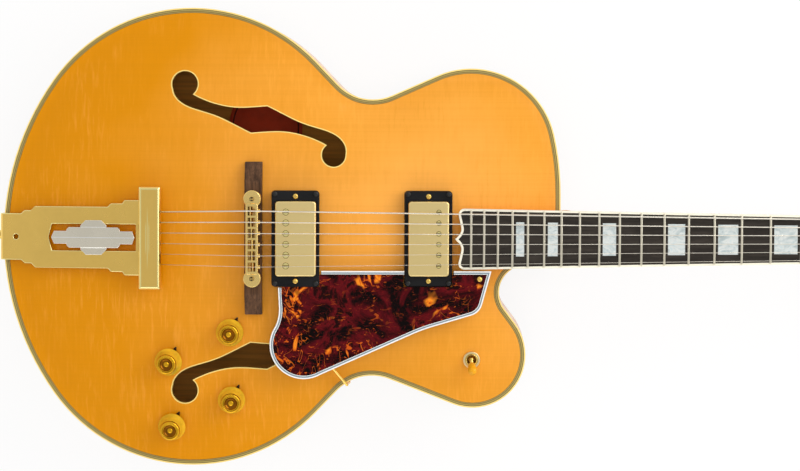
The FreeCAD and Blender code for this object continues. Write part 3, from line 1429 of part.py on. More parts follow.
def wood_screw(point, way, length):
    """Round-headed screw with a driver slot: its head stands on a point, its shank goes the other way."""
    shank = [(0, -length), (SCREW_R * 0.3, -length), (SCREW_R, -length + 2.0), (SCREW_R, 0)]
    head = [(SCREW_HEAD_R, 0), (SCREW_HEAD_R, SCREW_HEAD_H * 0.4), (SCREW_HEAD_R * 0.75, SCREW_HEAD_H * 0.85),
            (0, SCREW_HEAD_H)]
    profile = shank + head
    screw = turned(profile).cut(box(-5, 5, -0.35, 0.35, SCREW_HEAD_H * 0.45, 5))
    return placed(screw, FreeCAD.Placement(point, FreeCAD.Rotation(Z_AXIS, way)))


def placed_screws(frame, places, level, length):
    """Screws on a plane of a local frame."""
    way = frame.Rotation.multVec(Z_AXIS)
    return [wood_screw(frame.multVec(V(x, y, level + SEAT)), way, length) for x, y in places]


def screws(arch):
    """All small screws: rings, pickup height, tailpiece flange, truss rod cover, pickguard and bracket."""
    solids = []
    for x in (PICKUP_BRIDGE_X, PICKUP_NECK_X):
        frame = pickup_frame(x)
        solids += placed_screws(frame, ring_screw_places(), -RING_BELOW_COVER, ring_screw_length(arch, x))
        places = [(0, y) for y in height_screw_places()]
        solids += placed_screws(frame, places, -RING_BELOW_COVER, COVER_H + 2)
    flange = -BODY_LENGTH - FLANGE_GAP - TAIL_PLATE_T - SEAT
    solids += [wood_screw(V(flange, y, z), V(-1, 0, 0), 16.0) for y, z in flange_screws()]
    solids += placed_screws(head_frame(), truss_cover_screws(), SEAT + TRUSS_COVER_T, 7.0)
    solids += placed_screws(guard_frame(), [guard_screw()], GUARD_T, 9.0)
    return Part.makeCompound(solids)


def ring_screw_length(arch, x):
    """Length of the ring screws, just into the top plate's upper face."""
    frame = pickup_frame(x)
    sx, sy = ring_screw_places()[0]
    head = frame.multVec(V(sx, sy, -RING_BELOW_COVER))
    return head.z - arch.top_z(head.x, head.y) - SEAT


def guard_screw():
    """Place of the pickguard's screw in its own frame."""
    return GUARD_SCREW_X - GUARD_NECK_X, GUARD_SCREW_Y


def guard_notches():
    """Sides of the pickguard's notches round the pickup rings, and their depth."""
    room = RING_L / 2 + GUARD_CLEAR
    neck_x = PICKUP_NECK_X - GUARD_NECK_X
    bridge_x = PICKUP_BRIDGE_X - GUARD_NECK_X
    return neck_x - room, neck_x + room, bridge_x + room, -RING_W / 2 - GUARD_CLEAR


def guard_wire():
    """Plan of the pickguard in its own frame, notched round the pickup rings."""
    neck_low, neck_high, bridge_high, notch = guard_notches()
    tail = GUARD_TAIL_X - GUARD_NECK_X
    edge = GUARD_EDGE_Y
    circles = [(0.0, edge, 0.0, 1), (neck_high, edge, 0.0, 1), (neck_high, notch, 0.0, 1),
               (neck_low, notch, 0.0, 1),
               (neck_low, edge, 0.0, 1), (bridge_high, edge, 0.0, 1), (bridge_high, notch, 0.0, 1),
               (tail, notch, 0.0, 1), (tail - 37.0, -66.0, 38.0, -1), (tail + 25.0, -94.0, 36.0, 1),
               (tail + 186.0, -224.0, 148.0, -1), (tail + 176.0, -57.0, 15.0, 1)]
    return tangent_loop(circles)


def pickguard_pieces():
    """Pickguard plate and the layered binding round it, which stops at the pickup rings."""
    whole = Part.Face(guard_wire())
    inner = Part.Face(whole.makeOffset2D(-GUARD_BINDING_W, 2).OuterWire)
    neck_low, neck_high, bridge_high, notch = guard_notches()
    tail = GUARD_TAIL_X - GUARD_NECK_X + GUARD_BINDING_W
    reach = 2 * GUARD_BINDING_W
    low = notch - reach
    high = GUARD_EDGE_Y - GUARD_BINDING_W
    unbound = [box(neck_low - reach, neck_high + reach, low, high, -1, GUARD_T + 1),
               box(tail, bridge_high + reach, low, high, -1, GUARD_T + 1)]
    hole = rod(SCREW_R + SLIDE, V(*guard_screw(), -5), V(*guard_screw(), 9))
    rim_band = whole.extrude(V(0, 0, GUARD_T)).cut(inner.extrude(V(0, 0, GUARD_T)))
    at_rings = [rim_band.common(block) for block in unbound]
    plate = inner.extrude(V(0, 0, GUARD_T)).fuse(at_rings).removeSplitter().cut([hole])
    return placed(plate, guard_frame()), placed(rim_band.cut(unbound), guard_frame())


def bracket_place():
    """Place of the bracket's pad under the pickguard, in the guard's frame."""
    return -231.0 - GUARD_NECK_X, -100.0


def pickguard_bracket():
    """Rod under the pickguard that bends down to a foot on the rim at the waist."""
    frame = guard_frame()
    x, y = bracket_place()
    pad = box(x - BRACKET_PAD / 2, x + BRACKET_PAD / 2, y - BRACKET_PAD, y + BRACKET_PAD, -2.0, -SEAT)
    pad = placed(pad, frame)
    start = frame.multVec(V(x, y, -2.0 - BRACKET_ROD_R * 0.8))
    waist_x, waist_y, radius, turn = body_circles()[2]
    foot_x = waist_x - radius * 0.52
    foot_y = waist_y + math.sqrt(radius ** 2 - (foot_x - waist_x) ** 2) - BRACKET_ROD_R * 1.5 - 0.1
    corner = V(foot_x, foot_y, BRACKET_ROD_R + 2.0)
    foot = V(foot_x, foot_y, -26.0)
    first = start + (start - corner).normalize() * 4.0
    pieces = [rod(BRACKET_ROD_R, first, corner), Part.makeSphere(BRACKET_ROD_R, corner),
              rod(BRACKET_ROD_R, corner, foot), Part.makeSphere(BRACKET_ROD_R * 1.5, foot)]
    return pad.fuse(pieces).removeSplitter()


def knob(arch, x, y):
    """Knob with a sunk middle, on the shaft of its potentiometer."""
    profile = [(POT_SHAFT_R, 0), (KNOB_R, 0), (KNOB_R, 2.2), (KNOB_R - 0.8, 5.0), (KNOB_R - 2.4, 9.0),
               (KNOB_R - 3.3, KNOB_H - 1.2), (KNOB_R - 4.0, KNOB_H - 0.2), (KNOB_R - 4.8, KNOB_H),
               (6.6, KNOB_H - 0.4), (5.6, KNOB_H - 2.6), (3.2, KNOB_H - 3.0), (2.2, KNOB_H - 2.0),
               (0, KNOB_H - 1.5), (0, KNOB_H - 5.0), (POT_SHAFT_R, KNOB_H - 5.0)]
    cap = turned(profile)
    cap.translate(V(0, 0, KNOB_LIFT))
    shaft = rod(POT_SHAFT_R, V(0, 0, -PLATE_T - 2.0), V(0, 0, KNOB_LIFT + KNOB_H - 5.0))
    return placed(Part.makeCompound([cap, shaft]), seat_frame(arch, x, y))


def potentiometers(arch):
    """Potentiometers under the top, with the nuts and pointers that hold them."""
    solids = []
    for _, x, y in KNOB_PLACES:
        frame = seat_frame(arch, x, y)
        under = -PLATE_T - 1.0
        can = rod(POT_R, V(0, 0, under - POT_H), V(0, 0, under))
        bushing = rod(POT_BUSHING_R, V(0, 0, under), V(0, 0, KNOB_LIFT - 0.4))
        bore = rod(POT_SHAFT_R + RUN, V(0, 0, -PLATE_T - 2.0 - RUN), V(0, 0, 30))
        pot = can.fuse(bushing).cut(bore).removeSplitter()
        nut = rod(POT_NUT_R, V(0, 0, POINTER_T + 2 * SEAT + 0.4), V(0, 0, POINTER_T + POT_NUT_T))
        nut = nut.cut(rod(POT_BUSHING_R + RUN, V(0, 0, -5), V(0, 0, 30)))
        tip = POINTER_REACH
        arm = KNOB_R * 0.7
        blade = polygon([(0, -4.0), (arm, -3.2), (tip, -0.5), (tip, 0.5), (arm, 3.2), (0, 4.0)])
        disc = rod(POT_NUT_R, V(0, 0, 0.4), V(0, 0, 0.4 + POINTER_T))
        pointer = prism(blade, 0.4, 0.4 + POINTER_T).fuse(disc)
        pointer = pointer.cut(rod(POT_BUSHING_R + RUN, V(0, 0, -5), V(0, 0, 30))).removeSplitter()
        pointer.rotate(V(0, 0, 0), Z_AXIS, POINTER_ANGLE)
        solids += [placed(solid, frame) for solid in (pot, nut, pointer)]
    return Part.makeCompound(solids)


def lever_pivot():
    """Depth of the lever's pivot under the top's surface."""
    return -2.0


def selector_switch(arch):
    """Switch body under the top and its round nut above it."""
    under = -PLATE_T - 1.0
    half_l = SWITCH_BODY_L / 2
    half_w = SWITCH_BODY_W / 2
    frame = box(-half_l, half_l, -half_w, half_w, under - SWITCH_BODY_H, under)
    bushing = rod(SWITCH_BUSHING_R, V(0, 0, under), V(0, 0, SWITCH_NUT_T + 0.6))
    swing = Part.makeCone(LEVER_R + 0.4, SWITCH_BUSHING_R - 0.5, 7.0, V(0, 0, lever_pivot() - 1.0))
    pivot = V(0, 0, lever_pivot())
    throat = rod(PIVOT_BALL_R, V(0, 0, under - 4.0), pivot)
    ball_room = Part.makeSphere(PIVOT_BALL_R + RUN, pivot)
    half_pin = V(PIVOT_HALF + RUN, 0, 0)
    pin_room = rod(PIVOT_R + RUN, pivot - half_pin, pivot + half_pin)
    body = frame.fuse(bushing).cut([swing, throat, ball_room, pin_room]).removeSplitter()
    nut = rod(SWITCH_NUT_R, V(0, 0, 0.4), V(0, 0, SWITCH_NUT_T))
    nut = nut.makeFillet(0.6, [edge for edge in nut.Edges if edge.CenterOfMass.z > SWITCH_NUT_T - 0.01
                               and edge.Length > SWITCH_NUT_R])
    nut = nut.cut(rod(SWITCH_BUSHING_R + RUN, V(0, 0, -5), V(0, 0, 30)))
    return placed(Part.makeCompound([body, nut]), seat_frame(arch, SWITCH_X, SWITCH_Y))


def selector_lever(arch):
    """Lever with its ball, pivot pin and the amber tip on it, leaning to the treble side at rest."""
    ball = Part.makeSphere(PIVOT_BALL_R, V(0, 0, 0))
    pin = rod(PIVOT_R, V(-PIVOT_HALF, 0, 0), V(PIVOT_HALF, 0, 0))
    stem = rod(LEVER_R, V(0, 0, 0), V(0, 0, LEVER_L))
    neck_top = LEVER_L - 3.0
    outside = [(2.4, 0.0), (2.7, 2.0), (TIP_R, TIP_L * 0.6), (TIP_R, TIP_L * 0.82),
               (TIP_R * 0.75, TIP_L * 0.95), (0, TIP_L)]
    bore = [(0, LEVER_L + RUN), (LEVER_R + RUN, LEVER_L + RUN), (LEVER_R + RUN, neck_top)]
    profile = [(radius, neck_top + level) for radius, level in outside] + bore
    tip = turned(profile)
    group = Part.makeCompound([ball.fuse([stem, pin]).removeSplitter(), tip])
    frame = seat_frame(arch, SWITCH_X, SWITCH_Y)
    lean = FreeCAD.Placement(V(0, 0, lever_pivot()), FreeCAD.Rotation(V(1, 0, 0), LEVER_SWING))
    return placed(group, frame.multiply(lean))


def output_jack():
    """Jack sleeve through the rim, with its nut outside and its body inside."""
    out = JACK_NUT_T + 1.0
    sleeve = rod(JACK_SLEEVE_R, V(0, 0, -JACK_IN), V(0, 0, out))
    shoulder = rod(JACK_NUT_R, V(0, 0, -RIM_WALL - 6.0), V(0, 0, -RIM_WALL - 0.8))
    bore = rod(JACK_BORE_R, V(0, 0, -JACK_IN + 2.0), V(0, 0, 30))
    body = sleeve.fuse(shoulder).cut(bore).removeSplitter()
    nut = rod(JACK_NUT_R, V(0, 0, 0.5), V(0, 0, JACK_NUT_T))
    nut = nut.cut(rod(JACK_SLEEVE_R + RUN, V(0, 0, -5), V(0, 0, 30)))
    frame = FreeCAD.Placement(jack_wall_point(), FreeCAD.Rotation(Z_AXIS, jack_direction()))
    return placed(Part.makeCompound([body, nut]), frame)


def in_neck_frame(shapes):
    """Group of shapes built along the fingerboard, moved to their place."""
    return placed(Part.makeCompound([solid for shape in shapes for solid in shape.Solids]), neck_frame())


def fingerboard():
    """Dark playing board, with pockets for its inlays."""
    return board_layer(board_wire(BOARD_BINDING_W), -BOARD_T).cut(inlay_shapes())


def fingerboard_binding():
    """Light binding round the fingerboard."""
    return board_layer(board_wire(0.0), -BOARD_T).cut(prism(board_wire(BOARD_BINDING_W), -BOARD_T - 1, 9))


def all_nodes():
    """Every node of the guitar by name."""
    arch = Arch()
    guard, guard_binding = pickguard_pieces()
    bores = tail_bores()
    nodes = {
        "top_plate": top_plate(arch),
        "back_plate": back_plate(arch),
        "rim": rim().cut(bores),
        "body_bindings": body_bindings(),
        "f_hole_bindings": f_hole_bindings(arch),
        "linings_and_bars": linings_and_bars(arch).cut(bores),
        "end_blocks": end_blocks(arch).cut(bores),
        "neck": neck(arch),
        "headstock_veneer": headstock_veneer(),
        "fingerboard": in_neck_frame([fingerboard()]),
        "fingerboard_binding": in_neck_frame([fingerboard_binding()]),
        "frets": in_neck_frame(fret_shapes()),
        "position_inlays": in_neck_frame(inlay_shapes()),
        "nut": nut_solid(),
        "truss_rod": in_neck_frame(truss_solids()),
        "truss_rod_cover": truss_rod_cover(),
        "tuner_housings": tuner_housings(),
        "strings": Part.makeCompound([string_solid(index) for index in range(6)]),
        "bridge_base": bridge_base(arch),
        "bridge_posts": bridge_posts(),
        "thumbwheel_bass": thumbwheel(stud_places()[0]),
        "thumbwheel_treble": thumbwheel(stud_places()[1]),
        "bridge_beam": bridge_beam(),
        "intonation_screws": intonation_screws(),
        "tailpiece": tailpiece(),
        "tailpiece_insert": tailpiece_insert(),
        "strap_button": strap_button(),
        "pickup_rings": Part.makeCompound([pickup_ring(arch, x) for x in (PICKUP_BRIDGE_X, PICKUP_NECK_X)]),
        "bridge_pickup": pickup(PICKUP_BRIDGE_X, -1),
        "neck_pickup": pickup(PICKUP_NECK_X, 1),
        "screws": screws(arch),
        "pickguard": guard,
        "pickguard_binding": guard_binding,
        "pickguard_bracket": pickguard_bracket(),
        "potentiometers": potentiometers(arch),
        "selector_switch": selector_switch(arch),
        "selector_lever": selector_lever(arch),
        "output_jack": output_jack(),
    }
    for name, x, y in KNOB_PLACES:
        nodes["knob_" + name] = knob(arch, x, y)
    for index in range(6):
        nodes["saddle_%d" % (index + 1)] = saddle(index)
        nodes["tuner_key_%d" % (index + 1)] = tuner_key(index)
        nodes["tuner_post_%d" % (index + 1)] = tuner_post(index)
    return nodes


def main():
    os.makedirs("parts", exist_ok=True)
    origin = origin_point()
    low = V(1e9, 1e9, 1e9)
    high = V(-1e9, -1e9, -1e9)
    for name, shape in all_nodes().items():
        shape = shape.copy()
        shape.translate(origin * -1)
        bounds = shape.optimalBoundingBox(False)
        low = V(min(low.x, bounds.XMin), min(low.y, bounds.YMin), min(low.z, bounds.ZMin))
        high = V(max(high.x, bounds.XMax), max(high.y, bounds.YMax), max(high.z, bounds.ZMax))
        if not shape.isValid() or not shape.Solids:
            print("check", name, "valid", shape.isValid(), "solids", len(shape.Solids))
        shape.exportStep("parts/%s.step" % name)
    print("box", low, high)


if __name__ == "__main__":
    main()
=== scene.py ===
import json
import math

import bmesh
import bpy
from mathutils import Matrix, Vector
from mathutils.bvhtree import BVHTree


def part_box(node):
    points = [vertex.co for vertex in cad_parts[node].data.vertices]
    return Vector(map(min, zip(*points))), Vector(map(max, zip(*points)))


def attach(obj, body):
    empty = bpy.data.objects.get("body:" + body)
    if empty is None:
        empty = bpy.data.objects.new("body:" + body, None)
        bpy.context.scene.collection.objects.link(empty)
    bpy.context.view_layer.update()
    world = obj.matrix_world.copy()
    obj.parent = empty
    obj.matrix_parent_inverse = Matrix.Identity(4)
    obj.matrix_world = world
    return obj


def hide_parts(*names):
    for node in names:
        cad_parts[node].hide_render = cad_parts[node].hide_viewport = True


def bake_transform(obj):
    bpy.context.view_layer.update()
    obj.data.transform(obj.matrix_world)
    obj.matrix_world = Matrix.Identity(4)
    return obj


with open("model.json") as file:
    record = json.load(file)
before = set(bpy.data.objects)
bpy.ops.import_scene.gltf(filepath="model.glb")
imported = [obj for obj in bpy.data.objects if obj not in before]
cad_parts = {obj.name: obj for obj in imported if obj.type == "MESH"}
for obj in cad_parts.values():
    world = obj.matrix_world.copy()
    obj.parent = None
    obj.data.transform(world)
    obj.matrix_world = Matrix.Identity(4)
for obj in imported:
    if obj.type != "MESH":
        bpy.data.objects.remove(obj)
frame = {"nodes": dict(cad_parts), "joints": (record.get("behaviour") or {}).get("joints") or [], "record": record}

bl_info = {
    "name": "Archtop Guitar Looks",
    "version": (1, 0, 0),
    "blender": (4, 5, 0),
    "location": "3D View > Sidebar > Guitar",
    "description": "Finishes and fine shapes of an archtop guitar around its fixed frame",
    "category": "Object",
}

NODES = frame["nodes"]
JOINTS = {joint["name"]: joint for joint in frame["joints"]}
NODE_BODY = {node: body for body, nodes in frame["record"]["behaviour"]["bodies"].items() for node in nodes}
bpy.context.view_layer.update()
MM = 0.001
PHOTO_WIDTH = 800
STRING_NUMBERS = range(1, 7)
PICKUPS = ("bridge_pickup", "neck_pickup")

# Copies of a node's shape: corners merged within this distance, faces flattened within this angle
MERGE_DISTANCE = 0.002 * MM
FLAT_ANGLE = math.radians(0.5)

# Brushing of plated metal, in cycles a metre along X, Y and Z
BRUSHED_ALONG = (60.0, 900.0, 900.0)
BRUSHED_ACROSS = (900.0, 60.0, 900.0)

# Length of one wave of the wave texture at scale 1
WAVE_LENGTH = 0.314

# Knob turned about its shaft: radius and height in millimetres, from under the skirt over to the middle
KNOB_PROFILE_MM = ((3.0, 3.6), (12.4, 3.6), (12.9, 3.8), (13.0, 4.3), (12.9, 5.0), (12.6, 5.6), (12.0, 6.4),
                   (11.3, 7.8), (10.7, 9.8), (10.2, 12.4), (9.8, 15.0), (9.5, 17.2), (9.2, 18.4), (8.8, 19.1),
                   (8.2, 19.5), (7.6, 19.6), (7.2, 19.5), (7.0, 19.1), (6.8, 19.1), (6.6, 19.3), (6.1, 19.2),
                   (5.8, 18.6), (5.2, 17.8), (4.2, 17.2), (3.4, 17.0), (2.9, 17.1), (2.7, 17.6), (2.4, 18.1),
                   (1.6, 18.5), (0.0, 18.6))
KNOB_SHOULDER_MM = 16.5
# Rings of the knob tops painted dark as the shade in their dips and at the shoulder: inner and outer radius in
# millimetres
KNOB_SHADE_RINGS_MM = ((2.8, 6.0), (6.7, 7.1), (9.1, 9.6))

# Switch tip turned about its lever: radius and depth under its end in millimetres
TIP_PROFILE_MM = ((1.9, 14.2), (3.2, 14.0), (3.7, 12.8), (3.95, 9.0), (4.0, 5.0), (3.9, 2.6), (3.3, 0.9),
                  (1.9, 0.15), (0.0, 0.0))

# Bench point of the drawing: the neck end of the body at the top edge of the rim, in the frame's metres
RIM_TOP_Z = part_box("body_bindings")[1].z
NECK_END_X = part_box("body_bindings")[1].x
BRIDGE_X = sum(corner.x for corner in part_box("bridge_posts")) / 2


def colour_prop(name, description, default):
    """Colour setting with the usual limits."""
    return bpy.props.FloatVectorProperty(name=name, description=description, default=default, subtype="COLOR",
                                         size=3, min=0.0, max=1.0)


def length_prop(name, description, default):
    """Length setting in metres."""
    return bpy.props.FloatProperty(name=name, description=description, default=default, min=0.0,
                                   unit="LENGTH")


def offset_prop(name, description, default):
    """Distance setting in metres that may point either way."""
    return bpy.props.FloatProperty(name=name, description=description, default=default, unit="LENGTH")


class GuitarFinishes(bpy.types.PropertyGroup):
    """Colours of the guitar's woods, plastics and metals."""

    spruce: colour_prop("Spruce", "Middle of the lacquered top", (0.93, 0.40, 0.060))
    # Deeper amber of the top away from its middle: partly the lacquer's toning, partly painted shade
    spruce_edge_tone_and_shade: colour_prop("Spruce edge", "Top away from its middle", (0.72, 0.262, 0.0))
    maple: colour_prop("Maple", "Back, sides and neck", (0.82, 0.36, 0.055))
    maple_dark: colour_prop("Maple flame", "Dark bands of the flamed maple", (0.58, 0.215, 0.022))
    raw_wood: colour_prop("Raw wood", "Bare wood inside the body", (0.72, 0.31, 0.055))
    cream: colour_prop("Cream", "Binding of the fingerboard", (0.93, 0.88, 0.72))
    pale: colour_prop("Pale yellow", "Outer ply of the body and binding of the f-holes", (0.96, 0.72, 0.22))
    ply_dark: colour_prop("Dark ply", "Dark plies of the body binding", (0.11, 0.070, 0.018))
    ply_light: colour_prop("Light ply", "Light plies of the body binding", (0.38, 0.29, 0.085))
    white: colour_prop("White ply", "Outer ply of the pickguard", (0.90, 0.90, 0.87))
    grey: colour_prop("Grey ply", "Middle plies of the pickguard", (0.22, 0.28, 0.33))
    ebony: colour_prop("Ebony", "Fingerboard", (0.031, 0.025, 0.020))
    rosewood: colour_prop("Rosewood", "Bridge foot", (0.085, 0.040, 0.019))
    gold: colour_prop("Gold", "Plated metal", (0.96, 0.64, 0.16))
    # Own brighter gold of the pole screws and cut lines; on rounded metal edges it is painted highlight
    bright_gold_and_edge_highlight: colour_prop("Polished gold", "Polished edges, pole screws and cut lines", (1.0, 0.86, 0.36))
    # Painted highlight on the rounded edges of the insert
    edge_highlight_nickel: colour_prop("Polished nickel", "Rounded edges of the insert", (1.0, 0.99, 0.94))
    cover: colour_prop("Pale gold", "Satin plating of the pickup covers", (0.99, 0.77, 0.34))
    nickel: colour_prop("Nickel", "Bare metal of the insert", (0.86, 0.80, 0.66))
    steel: colour_prop("String steel", "Strings and inner steel", (0.94, 0.88, 0.76))
    fret: colour_prop("Fret", "Fret wire", (0.84, 0.78, 0.62))
    pearl: colour_prop("Pearl", "Inlays", (0.50, 0.57, 0.57))
    black: colour_prop("Black", "Pickup rings and headstock face", (0.008, 0.008, 0.0085))
    tortoise: colour_prop("Tortoise", "Ground colour of the pickguard", (0.052, 0.0015, 0.003))
    amber: colour_prop("Amber", "Tops of the knobs", (0.86, 0.46, 0.016))
    tip: colour_prop("Switch tip", "Tip of the selector lever", (0.95, 0.42, 0.012))
    bridge: colour_prop("Bridge gold", "Bridge beam, saddles and wheels", (0.98, 0.71, 0.25))
    nut: colour_prop("Switch nut", "Pale gold of the switch nut", (1.0, 0.80, 0.42))
    # Painted shade inside the hollow of the switch nut
    nut_hollow_shade: colour_prop("Switch hollow", "Dark gold inside the switch nut", (0.24, 0.13, 0.03))
    # Painted shade of the sunk rings on the knobs
    knob_shade: colour_prop("Knob recess", "Shaded rings of the knobs", (0.30, 0.105, 0.003))
    knob_side: colour_prop("Knob side", "Sloping side of the knobs", (0.88, 0.53, 0.028))
    bone: colour_prop("Bone", "Nut at the headstock", (0.80, 0.75, 0.62))
    # Painted shade of the post grooves and of the line round the post heads
    post_groove_shade: colour_prop("Post groove", "Grooves of the bridge posts", (0.06, 0.04, 0.02))
    # Painted shade of the edge round each pole head
    pole_rim_shade: colour_prop("Pole rim", "Dark line round the pole screws", (0.16, 0.10, 0.03))
    ring_screw: colour_prop("Ring screw", "Black screws of the pickup rings", (0.05, 0.05, 0.05))
    # Pointers painted dark as the shade under the knobs
    pointer: colour_prop("Pointer", "Dark pointers under the knobs", (0.07, 0.045, 0.03))
    label: colour_prop("Label", "Paper inside the body", (0.72, 0.070, 0.022))


class GuitarDetails(bpy.types.PropertyGroup):
    """Fine sizes that the looks add to the frame."""

    metal_edge: length_prop("Metal edge", "Rounding of the metal edges", 0.9 * MM)
    string_bend: length_prop("String bend", "String beside the bridge that a saddle leads", 16 * MM)
    plastic_edge: length_prop("Plastic edge", "Rounding of the plastic edges", 0.5 * MM)
    fine_edge: length_prop("Fine edge", "Rounding of the nut, beam, wheels and pickup rings", 0.3 * MM)
    saddle_edge: length_prop("Saddle edge", "Rounding of the saddles", 0.2 * MM)
    insert_edge: length_prop("Insert edge", "Rounding of the insert and the strap button", 0.4 * MM)
    casing_edge: length_prop("Casing edge", "Rounding of the tuner housings and the switch nut", 0.5 * MM)
    wood_edge: length_prop("Wood edge", "Rounding of the bridge foot", 0.8 * MM)
    fret_crown: length_prop("Fret crown", "Rounding of the fret wire", 0.75 * MM)
    label_length: length_prop("Label length", "Paper label along the body", 72 * MM)
    label_width: length_prop("Label width", "Paper label across the body", 84 * MM)
    label_x: length_prop("Label place", "Distance of the label's middle behind the neck end", 285 * MM)
    label_y: length_prop("Label side", "Distance of the label's middle from the centreline", 104 * MM)


class GuitarStage(bpy.types.PropertyGroup):
    """Camera, floor and light."""

    camera_height: length_prop("Camera height", "Height of the camera over the rim", 2.421)
    camera_x: offset_prop("Camera place", "Camera along the body, from its neck end", -0.081)
    camera_y: length_prop("Camera side", "Camera towards the bass side", 0.0929)
    look_x: offset_prop("Aim", "Picture middle along the body", -0.1509)
    look_y: offset_prop("Aim side", "Picture middle across the body", 0.0023)
    pixels_per_metre: bpy.props.FloatProperty(name="Scale", description="Picture points per metre at the rim",
                                              default=1061.5)
    roll: bpy.props.FloatProperty(name="Roll", description="Turn of the camera about its own line of sight",
                                  default=0.0035, subtype="ANGLE")
    floor: colour_prop("Floor", "Pale floor", (0.94, 0.94, 0.94))


def finishes():
    """Colour settings of the scene."""
    return bpy.context.scene.guitar_finishes


def details():
    """Fine size settings of the scene."""
    return bpy.context.scene.guitar_details


def rgba(colour, factor=1.0):
    """Colour with full opacity, scaled in brightness."""
    return (colour[0] * factor, colour[1] * factor, colour[2] * factor, 1.0)


class Shading:
    """A node tree under construction."""

    def __init__(self, tree):
        self.tree = tree

    def add(self, kind, inputs=None, **settings):
        """New node with its settings, values and links."""
        node = self.tree.nodes.new("ShaderNode" + kind)
        for key, value in settings.items():
            setattr(node, key, value)
        for key, value in (inputs or {}).items():
            self.plug(node.inputs[key], value)
        return node

    def plug(self, socket, value):
        """Link to a socket, or its plain value."""
        if isinstance(value, bpy.types.NodeSocket):
            self.tree.links.new(value, socket)
        else:
            socket.default_value = value

    def math(self, kind, first, second=0.0):
        """Arithmetic on two values."""
        node = self.add("Math", operation=kind)
        self.plug(node.inputs[0], first)
        self.plug(node.inputs[1], second)
        return node.outputs[0]

    def span(self, value, low, high, to_low=0.0, to_high=1.0):
        """Value moved from one range to another."""
        node = self.add("MapRange", {"Value": value, "From Min": low, "From Max": high, "To Min": to_low,
                                     "To Max": to_high})
        return node.outputs[0]

    def vary(self, value, low, high):
        """Level that follows a noise value between two bounds."""
        return self.span(value, 0.3, 0.7, low, high)


class Finish(Shading):
    """One node material under construction."""

    def __init__(self, name):
        self.material = bpy.data.materials.new(name)
        self.material.use_nodes = True
        super().__init__(self.material.node_tree)
        self.shader = self.tree.nodes["Principled BSDF"]
        self.place = self.add("TexCoord").outputs["Object"]

    def set(self, **values):
        """Values or links of the surface shader."""
        for key, value in values.items():
            self.plug(self.shader.inputs[key.replace("_", " ")], value)
        return self

    def noise(self, scale, detail=3.0, rough=0.55, warp=0.0, turn=(0, 0, 0), place=None):
        """Noise value with its own scale along X, Y and Z, in cycles a metre."""
        mapped = self.add("Mapping", {"Vector": place or self.place, "Scale": scale, "Rotation": turn})
        node = self.add("TexNoise", {"Vector": mapped.outputs[0], "Scale": 1.0, "Detail": detail,
                                     "Roughness": rough, "Distortion": warp})
        return node.outputs["Fac"]

    def ramp(self, value, stops, kind="LINEAR"):
        """Colours along a value."""
        node = self.add("ValToRGB", {"Fac": value})
        band = node.color_ramp
        band.interpolation = kind
        while len(band.elements) < len(stops):
            band.elements.new(0.5)
        for element, (spot, colour) in zip(band.elements, stops):
            element.position = spot
            element.color = colour
        return node.outputs["Color"]

    def mix(self, share, first, second):
        """Two colours mixed by a share."""
        node = self.add("Mix", {0: share, 6: first, 7: second}, data_type="RGBA")
        return node.outputs[2]

    def bump(self, height, strength, depth):
        """Fine relief."""
        node = self.add("Bump", {"Height": height, "Strength": strength, "Distance": depth})
        return self.set(Normal=node.outputs[0])


def spruce_finish():
    """Lacquered spruce: fine grain along the body, silk across it and a deeper amber away from its middle, partly
    the lacquer's own toning and partly painted shade of the light falling off towards the edges.
    """
    tones = finishes()
    made = Finish("lacquered_spruce")
    grain = made.noise((2.2, 520.0, 2.2), 4.0, 0.6)
    silk = made.noise((330.0, 38.0, 20.0), 3.0, 0.65, 0.3)
    patch = made.noise((16.0, 11.0, 5.0), 3.0)
    cloud = made.noise((7.0, 9.0, 5.0), 2.0)
    centred = made.add("Mapping", {"Vector": made.place, "Location": (0.13, -0.06, 0.0),
                                   "Scale": (1.35, 1.7, 0.0)})
    away = made.add("VectorMath", {0: centred.outputs[0]}, operation="LENGTH").outputs["Value"]
    # Share of the deeper amber: partly toning, partly painted shade where the light falls off away from the middle
    edge_tone_and_shade = made.span(made.math("ADD", away, made.vary(cloud, -0.08, 0.08)), 0.04, 0.46)
    wood = made.mix(edge_tone_and_shade, rgba(tones.spruce), rgba(tones.spruce_edge_tone_and_shade))
    wood = made.mix(made.span(grain, 0.42, 0.62, 0.0, 0.10), wood, rgba(tones.spruce_edge_tone_and_shade, 0.80))
    streaks = made.math("MULTIPLY", made.span(silk, 0.50, 0.70), made.span(patch, 0.38, 0.60))
    wood = made.mix(made.span(streaks, 0.0, 1.0, 0.0, 0.34), wood, rgba(tones.spruce, 1.06))
    shade = made.math("MULTIPLY", made.span(silk, 0.50, 0.34), made.span(patch, 0.60, 0.38))
    wood = made.mix(made.span(shade, 0.0, 1.0, 0.0, 0.22), wood, rgba(tones.spruce_edge_tone_and_shade, 0.9))
    made.set(Base_Color=wood, Roughness=made.vary(grain, 0.32, 0.42), Specular_IOR_Level=0.05,
             Coat_Weight=0.2, Coat_Roughness=0.16)
    return bare_inside(made, -1.0).bump(grain, 0.04, 0.0002).material


def bare_inside(made, inward):
    """Bare wood on the faces that look into the body."""
    tones = finishes()
    facing = made.add("SeparateXYZ", {0: made.add("TexCoord").outputs["Normal"]}).outputs["Z"]
    inner = made.span(made.math("MULTIPLY", facing, inward), 0.25, 0.35)
    grain = made.noise((6.0, 300.0, 300.0), 4.0)
    bare = made.mix(made.span(grain, 0.35, 0.65), rgba(tones.raw_wood), rgba(tones.raw_wood, 0.75))
    outside = made.shader.inputs["Base Color"].links[0].from_socket
    coat = made.shader.inputs["Coat Weight"].default_value
    gloss = made.shader.inputs["Specular IOR Level"].default_value
    return made.set(Base_Color=made.mix(inner, outside, bare),
                    Coat_Weight=made.span(inner, 0.0, 1.0, coat, 0.0),
                    Specular_IOR_Level=made.span(inner, 0.0, 1.0, gloss, 0.02))


